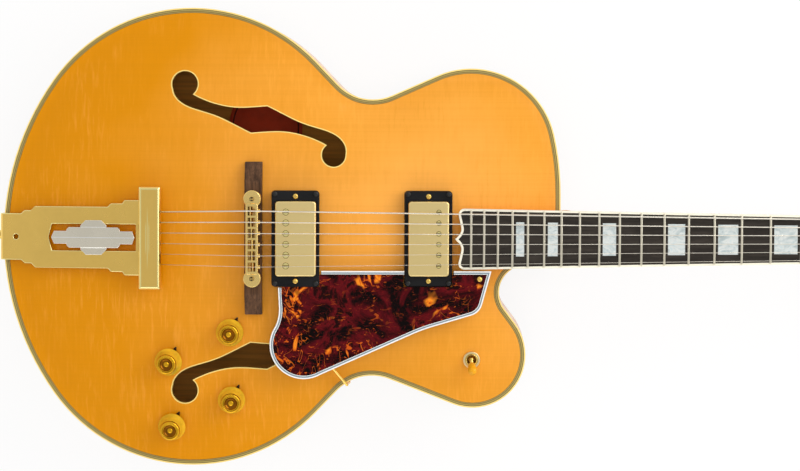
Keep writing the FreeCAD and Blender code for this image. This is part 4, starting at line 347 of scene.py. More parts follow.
def maple_finish(name):
    """Lacquered flamed maple."""
    tones = finishes()
    made = Finish(name)
    pores = made.noise((14.0, 700.0, 700.0), 3.0)
    spot = made.add("SeparateXYZ", {0: made.place}).outputs
    off_seam = made.math("ABSOLUTE", spot["Y"])
    slant = made.math("ADD", spot["X"], made.math("MULTIPLY", off_seam, 0.22))
    halves = made.add("CombineXYZ", {"X": slant, "Y": off_seam, "Z": spot["Z"]}).outputs[0]
    stripes = made.noise((105.0, 11.0, 4.0), 3.0, 0.5, 0.5, (0, 0, 0), halves)
    drift = made.noise((14.0, 9.0, 6.0), 2.0, 0.5, 0.3, (0, 0, 0), halves)
    wood = made.mix(made.span(stripes, 0.40, 0.60), rgba(tones.maple), rgba(tones.maple_dark))
    wood = made.mix(made.span(drift, 0.35, 0.65, 0.0, 0.45), wood, rgba(tones.maple, 0.92))
    wood = made.mix(made.span(pores, 0.50, 0.70, 0.0, 0.22), wood, rgba(tones.maple_dark, 0.75))
    sheen = made.math("ADD", made.vary(stripes, 0.26, 0.38), made.vary(pores, -0.02, 0.02))
    made.set(Base_Color=wood, Roughness=sheen, Specular_IOR_Level=0.25, Coat_Weight=0.4, Coat_Roughness=0.06)
    return made.bump(pores, 0.04, 0.0002)


def raw_wood_finish():
    """Bare wood of the inside."""
    tones = finishes()
    made = Finish("raw_wood")
    grain = made.noise((6.0, 300.0, 300.0), 4.0)
    wood = made.mix(made.span(grain, 0.35, 0.65), rgba(tones.raw_wood), rgba(tones.raw_wood, 0.62))
    made.set(Base_Color=wood, Roughness=made.vary(grain, 0.62, 0.78))
    return made.bump(grain, 0.15, 0.0004).material


def plain_ply_finish(name, colour):
    """Plain celluloid, bone or pale paint with a faint cloudiness."""
    made = Finish(name)
    cloud = made.noise((60.0, 60.0, 60.0), 3.0)
    tone = made.mix(made.span(cloud, 0.35, 0.65), rgba(colour), rgba(colour, 0.88))
    made.set(Base_Color=tone, Roughness=made.vary(cloud, 0.26, 0.36), Specular_IOR_Level=0.15,
             Coat_Weight=0.15, Coat_Roughness=0.08)
    return made.bump(cloud, 0.03, 0.0003).material


def layered_finish(name, plies):
    """Binding of thin layers, laid out by the piece's own measure across it."""
    made = Finish(name)
    across = made.add("Attribute", attribute_name="across").outputs["Fac"]
    tone = made.ramp(across, plies, "CONSTANT")
    cloud = made.noise((80.0, 80.0, 80.0), 3.0)
    tone = made.mix(made.vary(cloud, 0.0, 0.12), tone, (0.3, 0.25, 0.15, 1.0))
    made.set(Base_Color=tone, Roughness=made.vary(cloud, 0.25, 0.33), Specular_IOR_Level=0.15,
             Coat_Weight=0.15, Coat_Roughness=0.08)
    return made.material


def dark_wood_finish(name, colour, pores_share):
    """Ebony or rosewood: dark streaks and open pores along the grain."""
    made = Finish(name)
    streak = made.noise((7.0, 160.0, 160.0), 4.0, 0.6)
    pores = made.noise((60.0, 1500.0, 1500.0), 2.0)
    wood = made.mix(made.span(streak, 0.38, 0.66), rgba(colour, 0.75), rgba(colour, 1.45))
    wood = made.mix(made.span(pores, 0.56, 0.66, 0.0, pores_share), wood, rgba(colour, 0.35))
    made.set(Base_Color=wood, Roughness=made.vary(streak, 0.42, 0.55), Specular_IOR_Level=0.12)
    return made.bump(pores, 0.12, 0.0002).material


def cross_wood_finish(name, colour):
    """Rosewood with its grain across the body."""
    made = Finish(name)
    streak = made.noise((300.0, 16.0, 300.0), 4.0, 0.6)
    pores = made.noise((1500.0, 70.0, 1500.0), 2.0)
    wood = made.mix(made.span(streak, 0.36, 0.66), rgba(colour, 0.6), rgba(colour, 1.9))
    wood = made.mix(made.span(pores, 0.55, 0.66, 0.0, 0.7), wood, rgba(colour, 0.35))
    made.set(Base_Color=wood, Roughness=made.vary(streak, 0.42, 0.56), Specular_IOR_Level=0.2)
    return made.bump(pores, 0.15, 0.0002).material


def metal_finish(name, colour, rough, grain=BRUSHED_ACROSS, lines=()):
    """Plated metal with a fine brushed satin, faint handling marks and plain lines cut across the body."""
    made = Finish(name)
    brush = made.noise(grain, 3.0, 0.6)
    marks = made.noise((55.0, 55.0, 55.0), 4.0, 0.65)
    tone = made.mix(made.span(marks, 0.35, 0.70, 0.0, 0.35), rgba(colour), rgba(colour, 0.80))
    spot = made.add("SeparateXYZ", {0: made.place}).outputs
    for place, half in lines:
        beside = made.math("ABSOLUTE", made.math("SUBTRACT", spot["X"], place))
        inside = made.span(made.math("ABSOLUTE", spot["Y"]), half * 0.6, half, 1.0, 0.0)
        cut = made.math("MULTIPLY", made.span(beside, 0.2 * MM, 0.45 * MM, 1.0, 0.0), inside)
        tone = made.mix(cut, tone, rgba(finishes().bright_gold_and_edge_highlight))
    made.set(Base_Color=tone, Metallic=1.0, Roughness=made.vary(marks, rough - 0.05, rough + 0.07))
    return made.bump(brush, 0.012, 0.00004).material


def string_finish(name, colour, pitch):
    """String wire; wound strings show their close turns."""
    made = Finish(name)
    waves = {"Vector": made.place, "Scale": WAVE_LENGTH / pitch, "Distortion": 0.0, "Detail": 0.0}
    turns = made.add("TexWave", waves, wave_type="BANDS", bands_direction="X", wave_profile="SIN")
    tarnish = made.noise((30.0, 400.0, 30.0), 3.0)
    tone = made.mix(made.span(tarnish, 0.35, 0.7), rgba(colour), rgba(colour, 0.78))
    made.set(Base_Color=tone, Metallic=1.0, Roughness=made.vary(tarnish, 0.24, 0.36))
    return made.bump(turns.outputs["Fac"], 0.5, 0.0001).material


def pearl_finish():
    """Mother of pearl: drifting milky bands."""
    tones = finishes()
    made = Finish("mother_of_pearl")
    drift = made.noise((70.0, 120.0, 60.0), 4.0, 0.6, 1.6)
    cloud = made.noise((220.0, 160.0, 160.0), 3.0, 0.6, 0.8)
    tone = made.ramp(drift, [(0.30, rgba(tones.pearl, 0.72)), (0.45, rgba(tones.pearl)),
                             (0.55, (0.66, 0.68, 0.65, 1)), (0.70, (0.50, 0.61, 0.63, 1))])
    tone = made.mix(made.span(cloud, 0.45, 0.7, 0.0, 0.4), tone, (0.72, 0.72, 0.69, 1))
    made.set(Base_Color=tone, Roughness=made.vary(cloud, 0.15, 0.28), Coat_Weight=0.5, Coat_Roughness=0.05)
    return made.material


def black_finish(name, colour, rough):
    """Moulded black plastic or lacquer with a fine skin."""
    made = Finish(name)
    skin = made.noise((500.0, 500.0, 500.0), 3.0)
    wear = made.noise((35.0, 35.0, 35.0), 4.0)
    tone = made.mix(made.span(wear, 0.35, 0.7), rgba(colour), rgba(colour, 1.8))
    made.set(Base_Color=tone, Roughness=made.vary(wear, rough - 0.05, rough + 0.08), Specular_IOR_Level=0.08)
    return made.bump(skin, 0.06, 0.0001).material


def ribbons(made, scale, width, turn):
    """Thin curling lines where a warped noise passes its middle value."""
    field = made.noise(scale, 2.0, 0.50, 1.8, (0, 0, turn))
    return made.span(made.math("ABSOLUTE", made.math("SUBTRACT", field, 0.5)), 0.0, width, 1.0, 0.0)


def tortoise_finish():
    """Marbled celluloid: maroon ground, black clouds and amber flames that thin out towards the neck."""
    tones = finishes()
    made = Finish("tortoise_celluloid")
    ground = made.noise((22.0, 26.0, 20.0), 5.0, 0.6, 1.8)
    where = made.noise((17.0, 21.0, 10.0), 3.0, 0.5, 0.8)
    along = made.add("SeparateXYZ", {0: made.place}).outputs["X"]
    near_tail = made.span(along, NECK_END_X - 0.280, NECK_END_X - 0.12, 0.15, -0.08)
    spread = made.math("ADD", where, near_tail)
    tone = made.ramp(ground, [(0.41, (0.003, 0.001, 0.001, 1)), (0.47, rgba(tones.tortoise, 0.7)),
                              (0.53, rgba(tones.tortoise, 1.5)), (0.57, (0.11, 0.003, 0.005, 1)),
                              (0.62, (0.010, 0.001, 0.001, 1))])
    thread = ribbons(made, (80.0, 110.0, 30.0), 0.012, 0.5)
    tone = made.mix(made.math("MULTIPLY", thread, made.span(spread, 0.40, 0.60, 0.25, 0.9)), tone,
                    (0.24, 0.010, 0.006, 1))
    flame = made.noise((40.0, 20.0, 30.0), 3.0, 0.55, 2.0, (0, 0, 0.22))
    body = made.math("MULTIPLY", made.span(flame, 0.555, 0.572), made.span(spread, 0.47, 0.53))
    fire = made.ramp(flame, [(0.555, (0.20, 0.010, 0.003, 1)), (0.585, (0.52, 0.080, 0.004, 1)),
                             (0.63, (0.84, 0.24, 0.012, 1))])
    tone = made.mix(body, tone, fire)
    ribbon = ribbons(made, (46.0, 24.0, 30.0), 0.013, 0.8)
    tone = made.mix(made.math("MULTIPLY", ribbon, made.span(spread, 0.50, 0.58)), tone,
                    (0.66, 0.13, 0.008, 1))
    spark = made.noise((110.0, 210.0, 60.0), 2.2, 0.55, 1.4, (0, 0, -0.7))
    fleck = made.math("MULTIPLY", made.span(spark, 0.625, 0.645), made.span(spread, 0.42, 0.55, 0.15, 0.9))
    tone = made.mix(fleck, tone, (0.60, 0.095, 0.005, 1))
    made.set(Base_Color=tone, Roughness=made.vary(ground, 0.12, 0.20), Specular_IOR_Level=0.03,
             Coat_Weight=0.10, Coat_Roughness=0.04)
    return made.material


def amber_finish(name, colour, backing):
    """Clear amber plastic with a share of gold backing."""
    made = Finish(name)
    depth = made.noise((120.0, 120.0, 120.0), 3.0)
    tone = made.mix(made.span(depth, 0.3, 0.7), rgba(colour), rgba(colour, 0.72))
    made.set(Base_Color=tone, Metallic=backing, Roughness=made.vary(depth, 0.12, 0.20),
             Specular_IOR_Level=0.10, Coat_Weight=0.25 * (1.0 - backing), Coat_Roughness=0.04)
    return made.material


def paper_finish():
    """Red label paper with a plain oval line."""
    tones = finishes()
    made = Finish("label_paper")
    fibre = made.noise((400.0, 500.0, 400.0), 4.0)
    blot = made.noise((40.0, 50.0, 40.0), 3.0)
    tone = made.mix(made.span(blot, 0.35, 0.7), rgba(tones.label), rgba(tones.label, 0.7))
    sizes = details()
    stretch = (2.0 / sizes.label_length, 2.0 / sizes.label_width, 0.0)
    shift = (-stretch[0] * (NECK_END_X - sizes.label_x), -stretch[1] * sizes.label_y, 0.0)
    oval = made.add("Mapping", {"Vector": made.place, "Location": shift, "Scale": stretch})
    out = made.add("VectorMath", {0: oval.outputs[0]}, operation="LENGTH").outputs["Value"]
    line = made.ramp(out, [(0.0, (0, 0, 0, 1)), (0.87, (1, 1, 1, 1)), (0.91, (0, 0, 0, 1))], "CONSTANT")
    tone = made.mix(line, tone, rgba(tones.label, 0.12))
    made.set(Base_Color=tone, Roughness=made.vary(fibre, 0.72, 0.85))
    return made.bump(fibre, 0.2, 0.0002).material


def new_piece(shape, name, materials, angle=35.0):
    """Smooth object from a shape, with its finishes and its sharp edges kept."""
    mesh = bpy.data.meshes.new(name)
    shape.to_mesh(mesh)
    shape.free()
    for material in materials:
        mesh.materials.append(material)
    mesh.polygons.foreach_set("use_smooth", [True] * len(mesh.polygons))
    mesh.set_sharp_from_angle(angle=math.radians(angle))
    piece = bpy.data.objects.new(name, mesh)
    bpy.context.scene.collection.objects.link(piece)
    return piece


def merged_copy(node, flatten=True):
    """Mesh under edit that starts from a node's own shape."""
    shape = bmesh.new()
    shape.from_mesh(NODES[node].data)
    bmesh.ops.remove_doubles(shape, verts=shape.verts, dist=MERGE_DISTANCE)
    if flatten:
        bmesh.ops.dissolve_limit(shape, angle_limit=FLAT_ANGLE, verts=shape.verts, edges=shape.edges)
    return shape


def finish_piece(shape, name, node, materials, angle=35.0):
    """Object from a shape, riding with a node's body and standing for the node."""
    piece = new_piece(shape, name, materials, angle)
    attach(piece, NODE_BODY[node])
    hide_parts(node)
    return piece


def soften(piece, width, segments=2, angle=30.0, skin=-1):
    """Small rounding of the sharp edges, with a finish number of its own or the faces' own finish."""
    edge = piece.modifiers.new("edge_rounding", "BEVEL")
    edge.width = width
    edge.segments = segments
    edge.limit_method = "ANGLE"
    edge.angle_limit = math.radians(angle)
    edge.harden_normals = True
    edge.use_clamp_overlap = skin < 0
    edge.material = skin
    return piece


def rounded_copy(node, name, material, width, segments=2):
    """A node's shape with rounded edges and its finish."""
    piece = finish_piece(merged_copy(node), name, node, [material])
    return soften(piece, width, segments)


def highlighted_copy(node, name, metal, bright, width, angle=30.0):
    """A node's shape in metal, its rounded edges in a paler finish as painted highlight."""
    piece = finish_piece(merged_copy(node), name, node, [metal, bright], min(angle, 35.0))
    return soften(piece, width, 2, angle, 1)


def carry(material, *nodes):
    """The frame's own nodes with a finish."""
    for node in nodes:
        held = NODES[node].data.materials
        held.clear()
        held.append(material)


def stood_along(place, axis):
    """Place and turn that carry the Z axis onto another axis."""
    turn = Vector((0, 0, 1)).rotation_difference(Vector(axis)).to_matrix().to_4x4()
    return Matrix.Translation(place) @ turn


def lathe(profile, steps):
    """Turned shape about Z. Profile rows are (radius, height), in metres."""
    shape = bmesh.new()
    corners = [shape.verts.new((radius, 0.0, height)) for radius, height in profile]
    lines = [shape.edges.new(pair) for pair in zip(corners[:-1], corners[1:])]
    bmesh.ops.spin(shape, geom=corners + lines, cent=(0, 0, 0), axis=(0, 0, 1), angle=2 * math.pi,
                   steps=steps, use_merge=True)
    bmesh.ops.remove_doubles(shape, verts=shape.verts, dist=1e-6)
    bmesh.ops.recalc_face_normals(shape, faces=shape.faces)
    return shape


def joined(faces):
    """Groups of faces that share edges."""
    left = set(faces)
    groups = []
    while left:
        stack = [left.pop()]
        group = []
        while stack:
            face = stack.pop()
            group.append(face)
            beside = left.intersection(other for edge in face.edges for other in edge.link_faces)
            left -= beside
            stack.extend(beside)
        groups.append(group)
    return groups


def corners_of(group):
    """Vertices of a group of faces."""
    return {vert for face in group for vert in face.verts}


def extent(corners):
    """Lowest and highest place of some vertices along each axis."""
    along = list(zip(*(vert.co for vert in corners)))
    return Vector([min(values) for values in along]), Vector([max(values) for values in along])


def middle_of(corners):
    """Mean place of some vertices."""
    return sum((vert.co for vert in corners), Vector()) / len(corners)


def paint(faces, skin):
    """Give faces a finish number."""
    for face in faces:
        face.material_index = skin


def search_tree(node):
    """Search tree over a node's own surface."""
    shape = merged_copy(node, False)
    tree = BVHTree.FromBMesh(shape)
    shape.free()
    return tree


def mark_across(shape):
    """Measure across a flat band: 0 on its outer wall and 1 on its inner wall."""
    layer = shape.verts.layers.float.new("across")
    for band in joined(shape.faces):
        walls = joined(face for face in band if abs(face.normal.z) < 0.5)
        rings = [corners_of(wall) for wall in walls]
        outer = max(rings, key=lambda ring: extent(ring)[1].x - extent(ring)[0].x)
        for ring in rings:
            for vert in ring:
                vert[layer] = 0.0 if ring is outer else 1.0


def paint_groove_shade(shape, head, border, half_width, skin):
    """Painted shade of a screwdriver groove across a flat screw head, and a painted shade line round the head."""
    rim = bmesh.ops.inset_individual(shape, faces=[head], thickness=border, depth=0.0)["faces"]
    paint(rim, skin)
    middle = head.calc_center_median()
    along = head.normal.cross(Vector((0, 1, 0))).normalized()
    inner = [head]
    for side in (-half_width, half_width):
        edges = {edge for face in inner for edge in face.edges}
        cut = bmesh.ops.bisect_plane(shape, geom=inner + list(edges), dist=1e-8,
                                     plane_co=middle + along * side, plane_no=along)
        inner = [part for part in cut["geom"] if isinstance(part, bmesh.types.BMFace)]
    paint([face for face in inner if abs((face.calc_center_median() - middle).dot(along)) < half_width / 2],
          skin)


def mark_beside(shape, node):
    """Measure across an open band: 1 where it lies against a node and 0 on its free side."""
    layer = shape.verts.layers.float.new("across")
    core = search_tree(node)
    for vert in shape.verts:
        vert[layer] = 1.0 if core.find_nearest(vert.co)[3] < 0.05 * MM else 0.0


class GUITAR_OT_body(bpy.types.Operator):
    """Give the plates, rim, neck and blocks their woods"""

    bl_idname = "guitar.body"
    bl_label = "Body and neck woods"
    bl_options = {"REGISTER", "UNDO"}

    def execute(self, context):
        """Build this step."""
        raw = raw_wood_finish()
        carry(spruce_finish(), "top_plate")
        carry(bare_inside(maple_finish("flamed_back"), 1.0).material, "back_plate")
        carry(maple_finish("flamed_maple").material, "rim", "neck")
        carry(raw, "linings_and_bars", "end_blocks")
        carry(black_finish("head_lacquer", finishes().black, 0.14), "headstock_veneer")
        return {"FINISHED"}


class GUITAR_OT_bindings(bpy.types.Operator):
    """Build the layered bindings of the body, the f-holes and the fingerboard"""

    bl_idname = "guitar.bindings"
    bl_label = "Bindings"
    bl_options = {"REGISTER", "UNDO"}

    def execute(self, context):
        """Build this step."""
        tones = finishes()
        plies = [(0.0, rgba(tones.pale)), (0.26, rgba(tones.ply_dark)), (0.38, rgba(tones.ply_light)),
                 (0.66, rgba(tones.ply_dark)), (0.76, rgba(tones.ply_light)), (0.92, rgba(tones.ply_dark))]
        self.plied("body_bindings", "body_binding_plies", layered_finish("body_plies", plies))
        carry(plain_ply_finish("pale_celluloid", tones.pale), "f_hole_bindings")
        board = [(0.0, rgba(tones.cream)), (0.55, rgba(tones.black)), (0.75, rgba(tones.cream))]
        self.plied("fingerboard_binding", "fingerboard_binding_plies", layered_finish("board_plies", board))
        return {"FINISHED"}

    def plied(self, node, name, plies):
        """Binding whose plies lie side by side across it."""
        shape = merged_copy(node, False)
        mark_across(shape)
        finish_piece(shape, name, node, [plies])


class GUITAR_OT_fingerboard(bpy.types.Operator):
    """Dress the fingerboard, its frets, inlays and nut"""

    bl_idname = "guitar.fingerboard"
    bl_label = "Fingerboard"
    bl_options = {"REGISTER", "UNDO"}

    def execute(self, context):
        """Build this step."""
        tones = finishes()
        carry(dark_wood_finish("ebony", tones.ebony, 0.5), "fingerboard")
        carry(pearl_finish(), "position_inlays")
        wire = metal_finish("fret_wire", tones.fret, 0.30, BRUSHED_ALONG)
        rounded_copy("frets", "fret_wires", wire, details().fret_crown, 3)
        bone = plain_ply_finish("bone", tones.bone)
        rounded_copy("nut", "string_nut", bone, details().fine_edge)
        black = black_finish("cover_plastic", tones.black, 0.20)
        piece = finish_piece(merged_copy("truss_rod_cover"), "rod_cover", "truss_rod_cover",
                             [black, plain_ply_finish("cover_edge", tones.cream)])
        soften(piece, details().plastic_edge, 2, 30.0, 1)
        carry(metal_finish("rod_steel", tones.steel, 0.35), "truss_rod")
        return {"FINISHED"}


class GUITAR_OT_strings(bpy.types.Operator):
    """Split the strings at the bridge into runs and a bend on each side of each saddle"""

    bl_idname = "guitar.strings"
    bl_label = "Strings"
    bl_options = {"REGISTER", "UNDO"}

    # Pitch of the winding, and room of a string to each side at the bridge
    WINDING_PITCH = 1.1 * MM
    STRING_ROOM = 4 * MM

    # Run from the bridge to where the strings hold still, and a distance past their ends
    STILL_RUN = 0.6
    PAST_ENDS = 1.0

    def execute(self, context):
        """Build this step."""
        wire = string_finish("string_wire", finishes().steel, self.WINDING_PITCH)
        low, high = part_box("strings")
        before = BRIDGE_X - details().string_bend
        after = BRIDGE_X + details().string_bend
        tail = self.run(low.x - self.PAST_ENDS, before)
        self.string_piece(tail, "strings_tail", wire, "guitar", "bridge_beam", low.x, before)
        neck = self.run(after, high.x + self.PAST_ENDS)
        still = BRIDGE_X + self.STILL_RUN
        self.string_piece(neck, "strings_neck", wire, "guitar", "bridge_beam", still, after)
        middle = self.run(before, after)
        for number in STRING_NUMBERS:
            saddle_low, saddle_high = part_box("saddle_%d" % number)
            line = (saddle_low.y + saddle_high.y) / 2
            one = [vert.co for vert in middle.verts if abs(vert.co.y - line) < self.STRING_ROOM]
            crest = max(one, key=lambda spot: spot.z).x
            for side, edge in (("tail", before), ("neck", after)):
                shape = middle.copy()
                others = [vert for vert in shape.verts if abs(vert.co.y - line) >= self.STRING_ROOM]
                bmesh.ops.delete(shape, geom=others, context="VERTS")
                self.trim(shape, crest, 1 if side == "tail" else -1)
                name = "string_%d_%s_bend" % (number, side)
                self.string_piece(shape, name, wire, "bridge_beam", "saddle_%d" % number, edge, crest)
        middle.free()
        return {"FINISHED"}

    def run(self, start, end):
        """Length of all the strings between two places."""
        shape = merged_copy("strings", False)
        self.trim(shape, start, -1)
        self.trim(shape, end, 1)
        return shape

    def trim(self, shape, place, way):
        """Cut the strings off beyond a place."""
        geometry = shape.verts[:] + shape.edges[:] + shape.faces[:]
        bmesh.ops.bisect_plane(shape, geom=geometry, dist=1e-7, plane_co=(place, 0, 0), plane_no=(way, 0, 0),
                               clear_outer=True)

    def string_piece(self, shape, name, wire, held_by, led_by, start, end):
        """Piece of string with its finish, standing for the frame's strings, which are hidden."""
        piece = new_piece(shape, name, [wire], 60.0)
        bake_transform(piece)
        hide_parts("strings")


class GUITAR_OT_bridge(bpy.types.Operator):
    """Dress the bridge foot, posts, wheels, beam and saddles"""

    bl_idname = "guitar.bridge"
    bl_label = "Bridge"
    bl_options = {"REGISTER", "UNDO"}

    # Floor of the beam: its share of the beam's length and width, its thickness and its gap to the screws
    FLOOR_SHARE = (0.55, 0.62)
    FLOOR_T = 0.8 * MM
    FLOOR_GAP = 0.15 * MM

    # Painted shade line round a post's head, and half width of the painted shade of its groove
    HEAD_SHADE_RIM = 0.5 * MM
    GROOVE_HALF = 0.55 * MM

    def execute(self, context):
        """Build this step."""
        tones = finishes()
        gold = metal_finish("bridge_gold", tones.bridge, 0.24)
        rosewood = cross_wood_finish("rosewood", tones.rosewood)
        rounded_copy("bridge_base", "bridge_foot", rosewood, details().wood_edge)
        self.beam(gold, plain_ply_finish("beam_floor", tones.bridge))
        self.posts(gold, metal_finish("post_groove_shade", tones.post_groove_shade, 0.40))
        carry(gold, "intonation_screws")
        for node in ("thumbwheel_bass", "thumbwheel_treble"):
            rounded_copy(node, node + "_wheel", gold, details().fine_edge)
        for number in STRING_NUMBERS:
            name = "saddle_ridge_%d" % number
            rounded_copy("saddle_%d" % number, name, gold, details().saddle_edge)
        return {"FINISHED"}

    def beam(self, gold, pale):
        """Beam with a closed bottom under the saddles."""
        shape = merged_copy("bridge_beam")
        low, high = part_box("bridge_beam")
        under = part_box("intonation_screws")[0].z - self.FLOOR_GAP
        size = Vector(((high.x - low.x) * self.FLOOR_SHARE[0], (high.y - low.y) * self.FLOOR_SHARE[1],
                       self.FLOOR_T))
        middle = Vector(((low.x + high.x) / 2, (low.y + high.y) / 2, under - size.z / 2))
        block = Matrix.Translation(middle) @ Matrix.Diagonal((*size, 1.0))
        added = bmesh.ops.create_cube(shape, size=1.0, matrix=block)
        paint({face for vert in added["verts"] for face in vert.link_faces}, 1)
        piece = finish_piece(shape, "bridge_saddle_beam", "bridge_beam", [gold, pale])
        soften(piece, details().fine_edge)

    def posts(self, gold, dark):
        """Posts with painted shade of a groove across each head and round its edge."""
        shape = merged_copy("bridge_posts")
        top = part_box("bridge_posts")[1].z
        heads = [face for face in shape.faces
                 if face.normal.z > 0.9 and face.calc_center_median().z > top - MM]
        for head in heads:
            paint_groove_shade(shape, head, self.HEAD_SHADE_RIM, self.GROOVE_HALF, 1)
        finish_piece(shape, "bridge_post_screws", "bridge_posts", [gold, dark])


class GUITAR_OT_tailpiece(bpy.types.Operator):
    """Dress the tailpiece, its insert and the strap button"""

    bl_idname = "guitar.tailpiece"
    bl_label = "Tailpiece"
    bl_options = {"REGISTER", "UNDO"}

    # Lines cut along the crossbar: setback from its edge, half lengths and spacing
    LINE_SETBACK = 12.0 * MM
    LONG_HALF = 30 * MM
    SHORT_HALF = 16 * MM
    LINE_SPACING = 1.5 * MM

    def execute(self, context):
        """Build this step."""
        tones = finishes()
        gold = metal_finish("tailpiece_gold", tones.gold, 0.30, BRUSHED_ALONG, self.crossbar_lines())
        # Paler finishes on the rounded edges: painted highlight
        bright = metal_finish("gold_edge_highlight", tones.bright_gold_and_edge_highlight, 0.16)
        highlighted_copy("tailpiece", "tailpiece_plate", gold, bright, details().metal_edge)
        silver = metal_finish("insert_nickel", tones.nickel, 0.26, BRUSHED_ALONG)
        shine = metal_finish("nickel_edge_highlight", tones.edge_highlight_nickel, 0.14)
        highlighted_copy("tailpiece_insert", "stepped_insert", silver, shine, details().insert_edge, 12.0)
        rounded_copy("strap_button", "strap_knob", gold, details().insert_edge)
        return {"FINISHED"}

    def crossbar_lines(self):
        """Three plain lines along the crossbar: place and half length of each."""
        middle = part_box("tailpiece")[1].x - self.LINE_SETBACK
        return [(middle, self.LONG_HALF), (middle - self.LINE_SPACING, self.SHORT_HALF),
                (middle + self.LINE_SPACING, self.SHORT_HALF)]


class GUITAR_OT_pickups(bpy.types.Operator):
    """Dress the pickups, their rings and all screws"""

    bl_idname = "guitar.pickups"
    bl_label = "Pickups and screws"
    bl_options = {"REGISTER", "UNDO"}

    # Pole screws: most width and depth under the cover's top, then depth, growth and painted shade line round the
    # heads
    POLE_WIDTH = 7 * MM
    POLE_DEPTH = 4 * MM
    HEAD_DEPTH = 1.2 * MM
    HEAD_GROWTH = 1.3
    HEAD_SHADE_RIM = 0.4 * MM

    # Black ring screws: least distance from a pickup's middle and most distance past its edges
    RING_SCREW_SIDE = 12 * MM
    RING_SCREW_REACH = 5 * MM

    def execute(self, context):
        """Build this step."""
        tones = finishes()
        cover = metal_finish("cover_gold", tones.cover, 0.32)
        pole = metal_finish("pole_gold", tones.bright_gold_and_edge_highlight, 0.24)
        # Painted shade line round the pole heads
        groove = metal_finish("pole_painted_shade", tones.pole_rim_shade, 0.40)
        for node in PICKUPS:
            self.pickup(node, [cover, pole, groove])
        black = black_finish("ring_plastic", tones.black, 0.30)
        rounded_copy("pickup_rings", "pickup_frames", black, details().fine_edge)
        self.dress_screws(tones)
        return {"FINISHED"}

    def pickup(self, node, skins):
        """Pickup with its pole screws in the cover, bright on top, with a painted shade line round the edges of
        each head.
        """
        shape = merged_copy(node)
        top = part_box(node)[1].z
        for group in joined(shape.faces):
            corners = corners_of(group)
            low, high = extent(corners)
            if max((high - low).xy) < self.POLE_WIDTH and high.z > top - self.POLE_DEPTH:
                middle = (low + high) / 2
                for vert in corners:
                    if vert.co.z > top - self.HEAD_DEPTH:
                        vert.co.x = middle.x + (vert.co.x - middle.x) * self.HEAD_GROWTH
                        vert.co.y = middle.y + (vert.co.y - middle.y) * self.HEAD_GROWTH
                paint(group, 1)
        heads = [face for face in shape.faces if face.material_index == 1 and face.normal.z > 0.9]
        # Painted shade line round each pole head
        shade_rims = bmesh.ops.inset_individual(shape, faces=heads, thickness=self.HEAD_SHADE_RIM, depth=0.0)["faces"]
        paint(shade_rims, 2)
        finish_piece(shape, node + "_unit", node, skins)

    def dress_screws(self, tones):
        """Gold screws everywhere but black ones at the corners of the rings."""
        shape = merged_copy("screws")
        for group in joined(shape.faces):
            middle = middle_of(corners_of(group))
            for node in PICKUPS:
                low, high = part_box(node)
                away = abs(middle.x - (low.x + high.x) / 2)
                most = (high.x - low.x) / 2 + self.RING_SCREW_REACH
                if self.RING_SCREW_SIDE < away < most:
                    paint(group, 1)
        gold = metal_finish("screw_gold", tones.gold, 0.24)
        dark = metal_finish("screw_black", tones.ring_screw, 0.35)
        finish_piece(shape, "small_screws", "screws", [gold, dark])


class GUITAR_OT_pickguard(bpy.types.Operator):
    """Dress the pickguard, its layered edge and its bracket"""

    bl_idname = "guitar.pickguard"
    bl_label = "Pickguard"
    bl_options = {"REGISTER", "UNDO"}

    # Reach within which the notches close up, and the gap that stays round a pickup ring
    NOTCH_REACH = 2.2 * MM
    RING_GAP = 0.12 * MM

    def execute(self, context):
        """Build this step."""
        tones = finishes()
        self.plate(tortoise_finish())
        plies = [(0.0, rgba(tones.white)), (0.34, rgba(tones.grey)), (0.76, rgba(tones.white)),
                 (0.90, rgba(tones.black))]
        shape = merged_copy("pickguard_binding", False)
        mark_beside(shape, "pickguard")
        finish_piece(shape, "pickguard_plies", "pickguard_binding", [layered_finish("guard_plies", plies)])
        carry(metal_finish("bracket_gold", tones.gold, 0.24), "pickguard_bracket")
        return {"FINISHED"}

    def plate(self, tortoise):
        """Guard plate whose notches close up to the pickup rings."""
        shape = merged_copy("pickguard")
        rings = merged_copy("pickup_rings")
        reach = self.NOTCH_REACH
        clearance = Vector((self.RING_GAP, self.RING_GAP, 0.0))
        for ring in joined(rings.faces):
            low, high = extent(corners_of(ring))
            low -= clearance
            high += clearance
            for vert in shape.verts:
                beside = low.x - reach < vert.co.x < high.x + reach
                if beside and abs(vert.co.y - low.y) < reach:
                    vert.co.y = low.y
                if vert.co.y > low.y - reach and abs(vert.co.x - low.x) < reach:
                    vert.co.x = low.x
                if vert.co.y > low.y - reach and abs(vert.co.x - high.x) < reach:
                    vert.co.x = high.x
        rings.free()
        finish_piece(shape, "guard_plate", "pickguard", [tortoise])


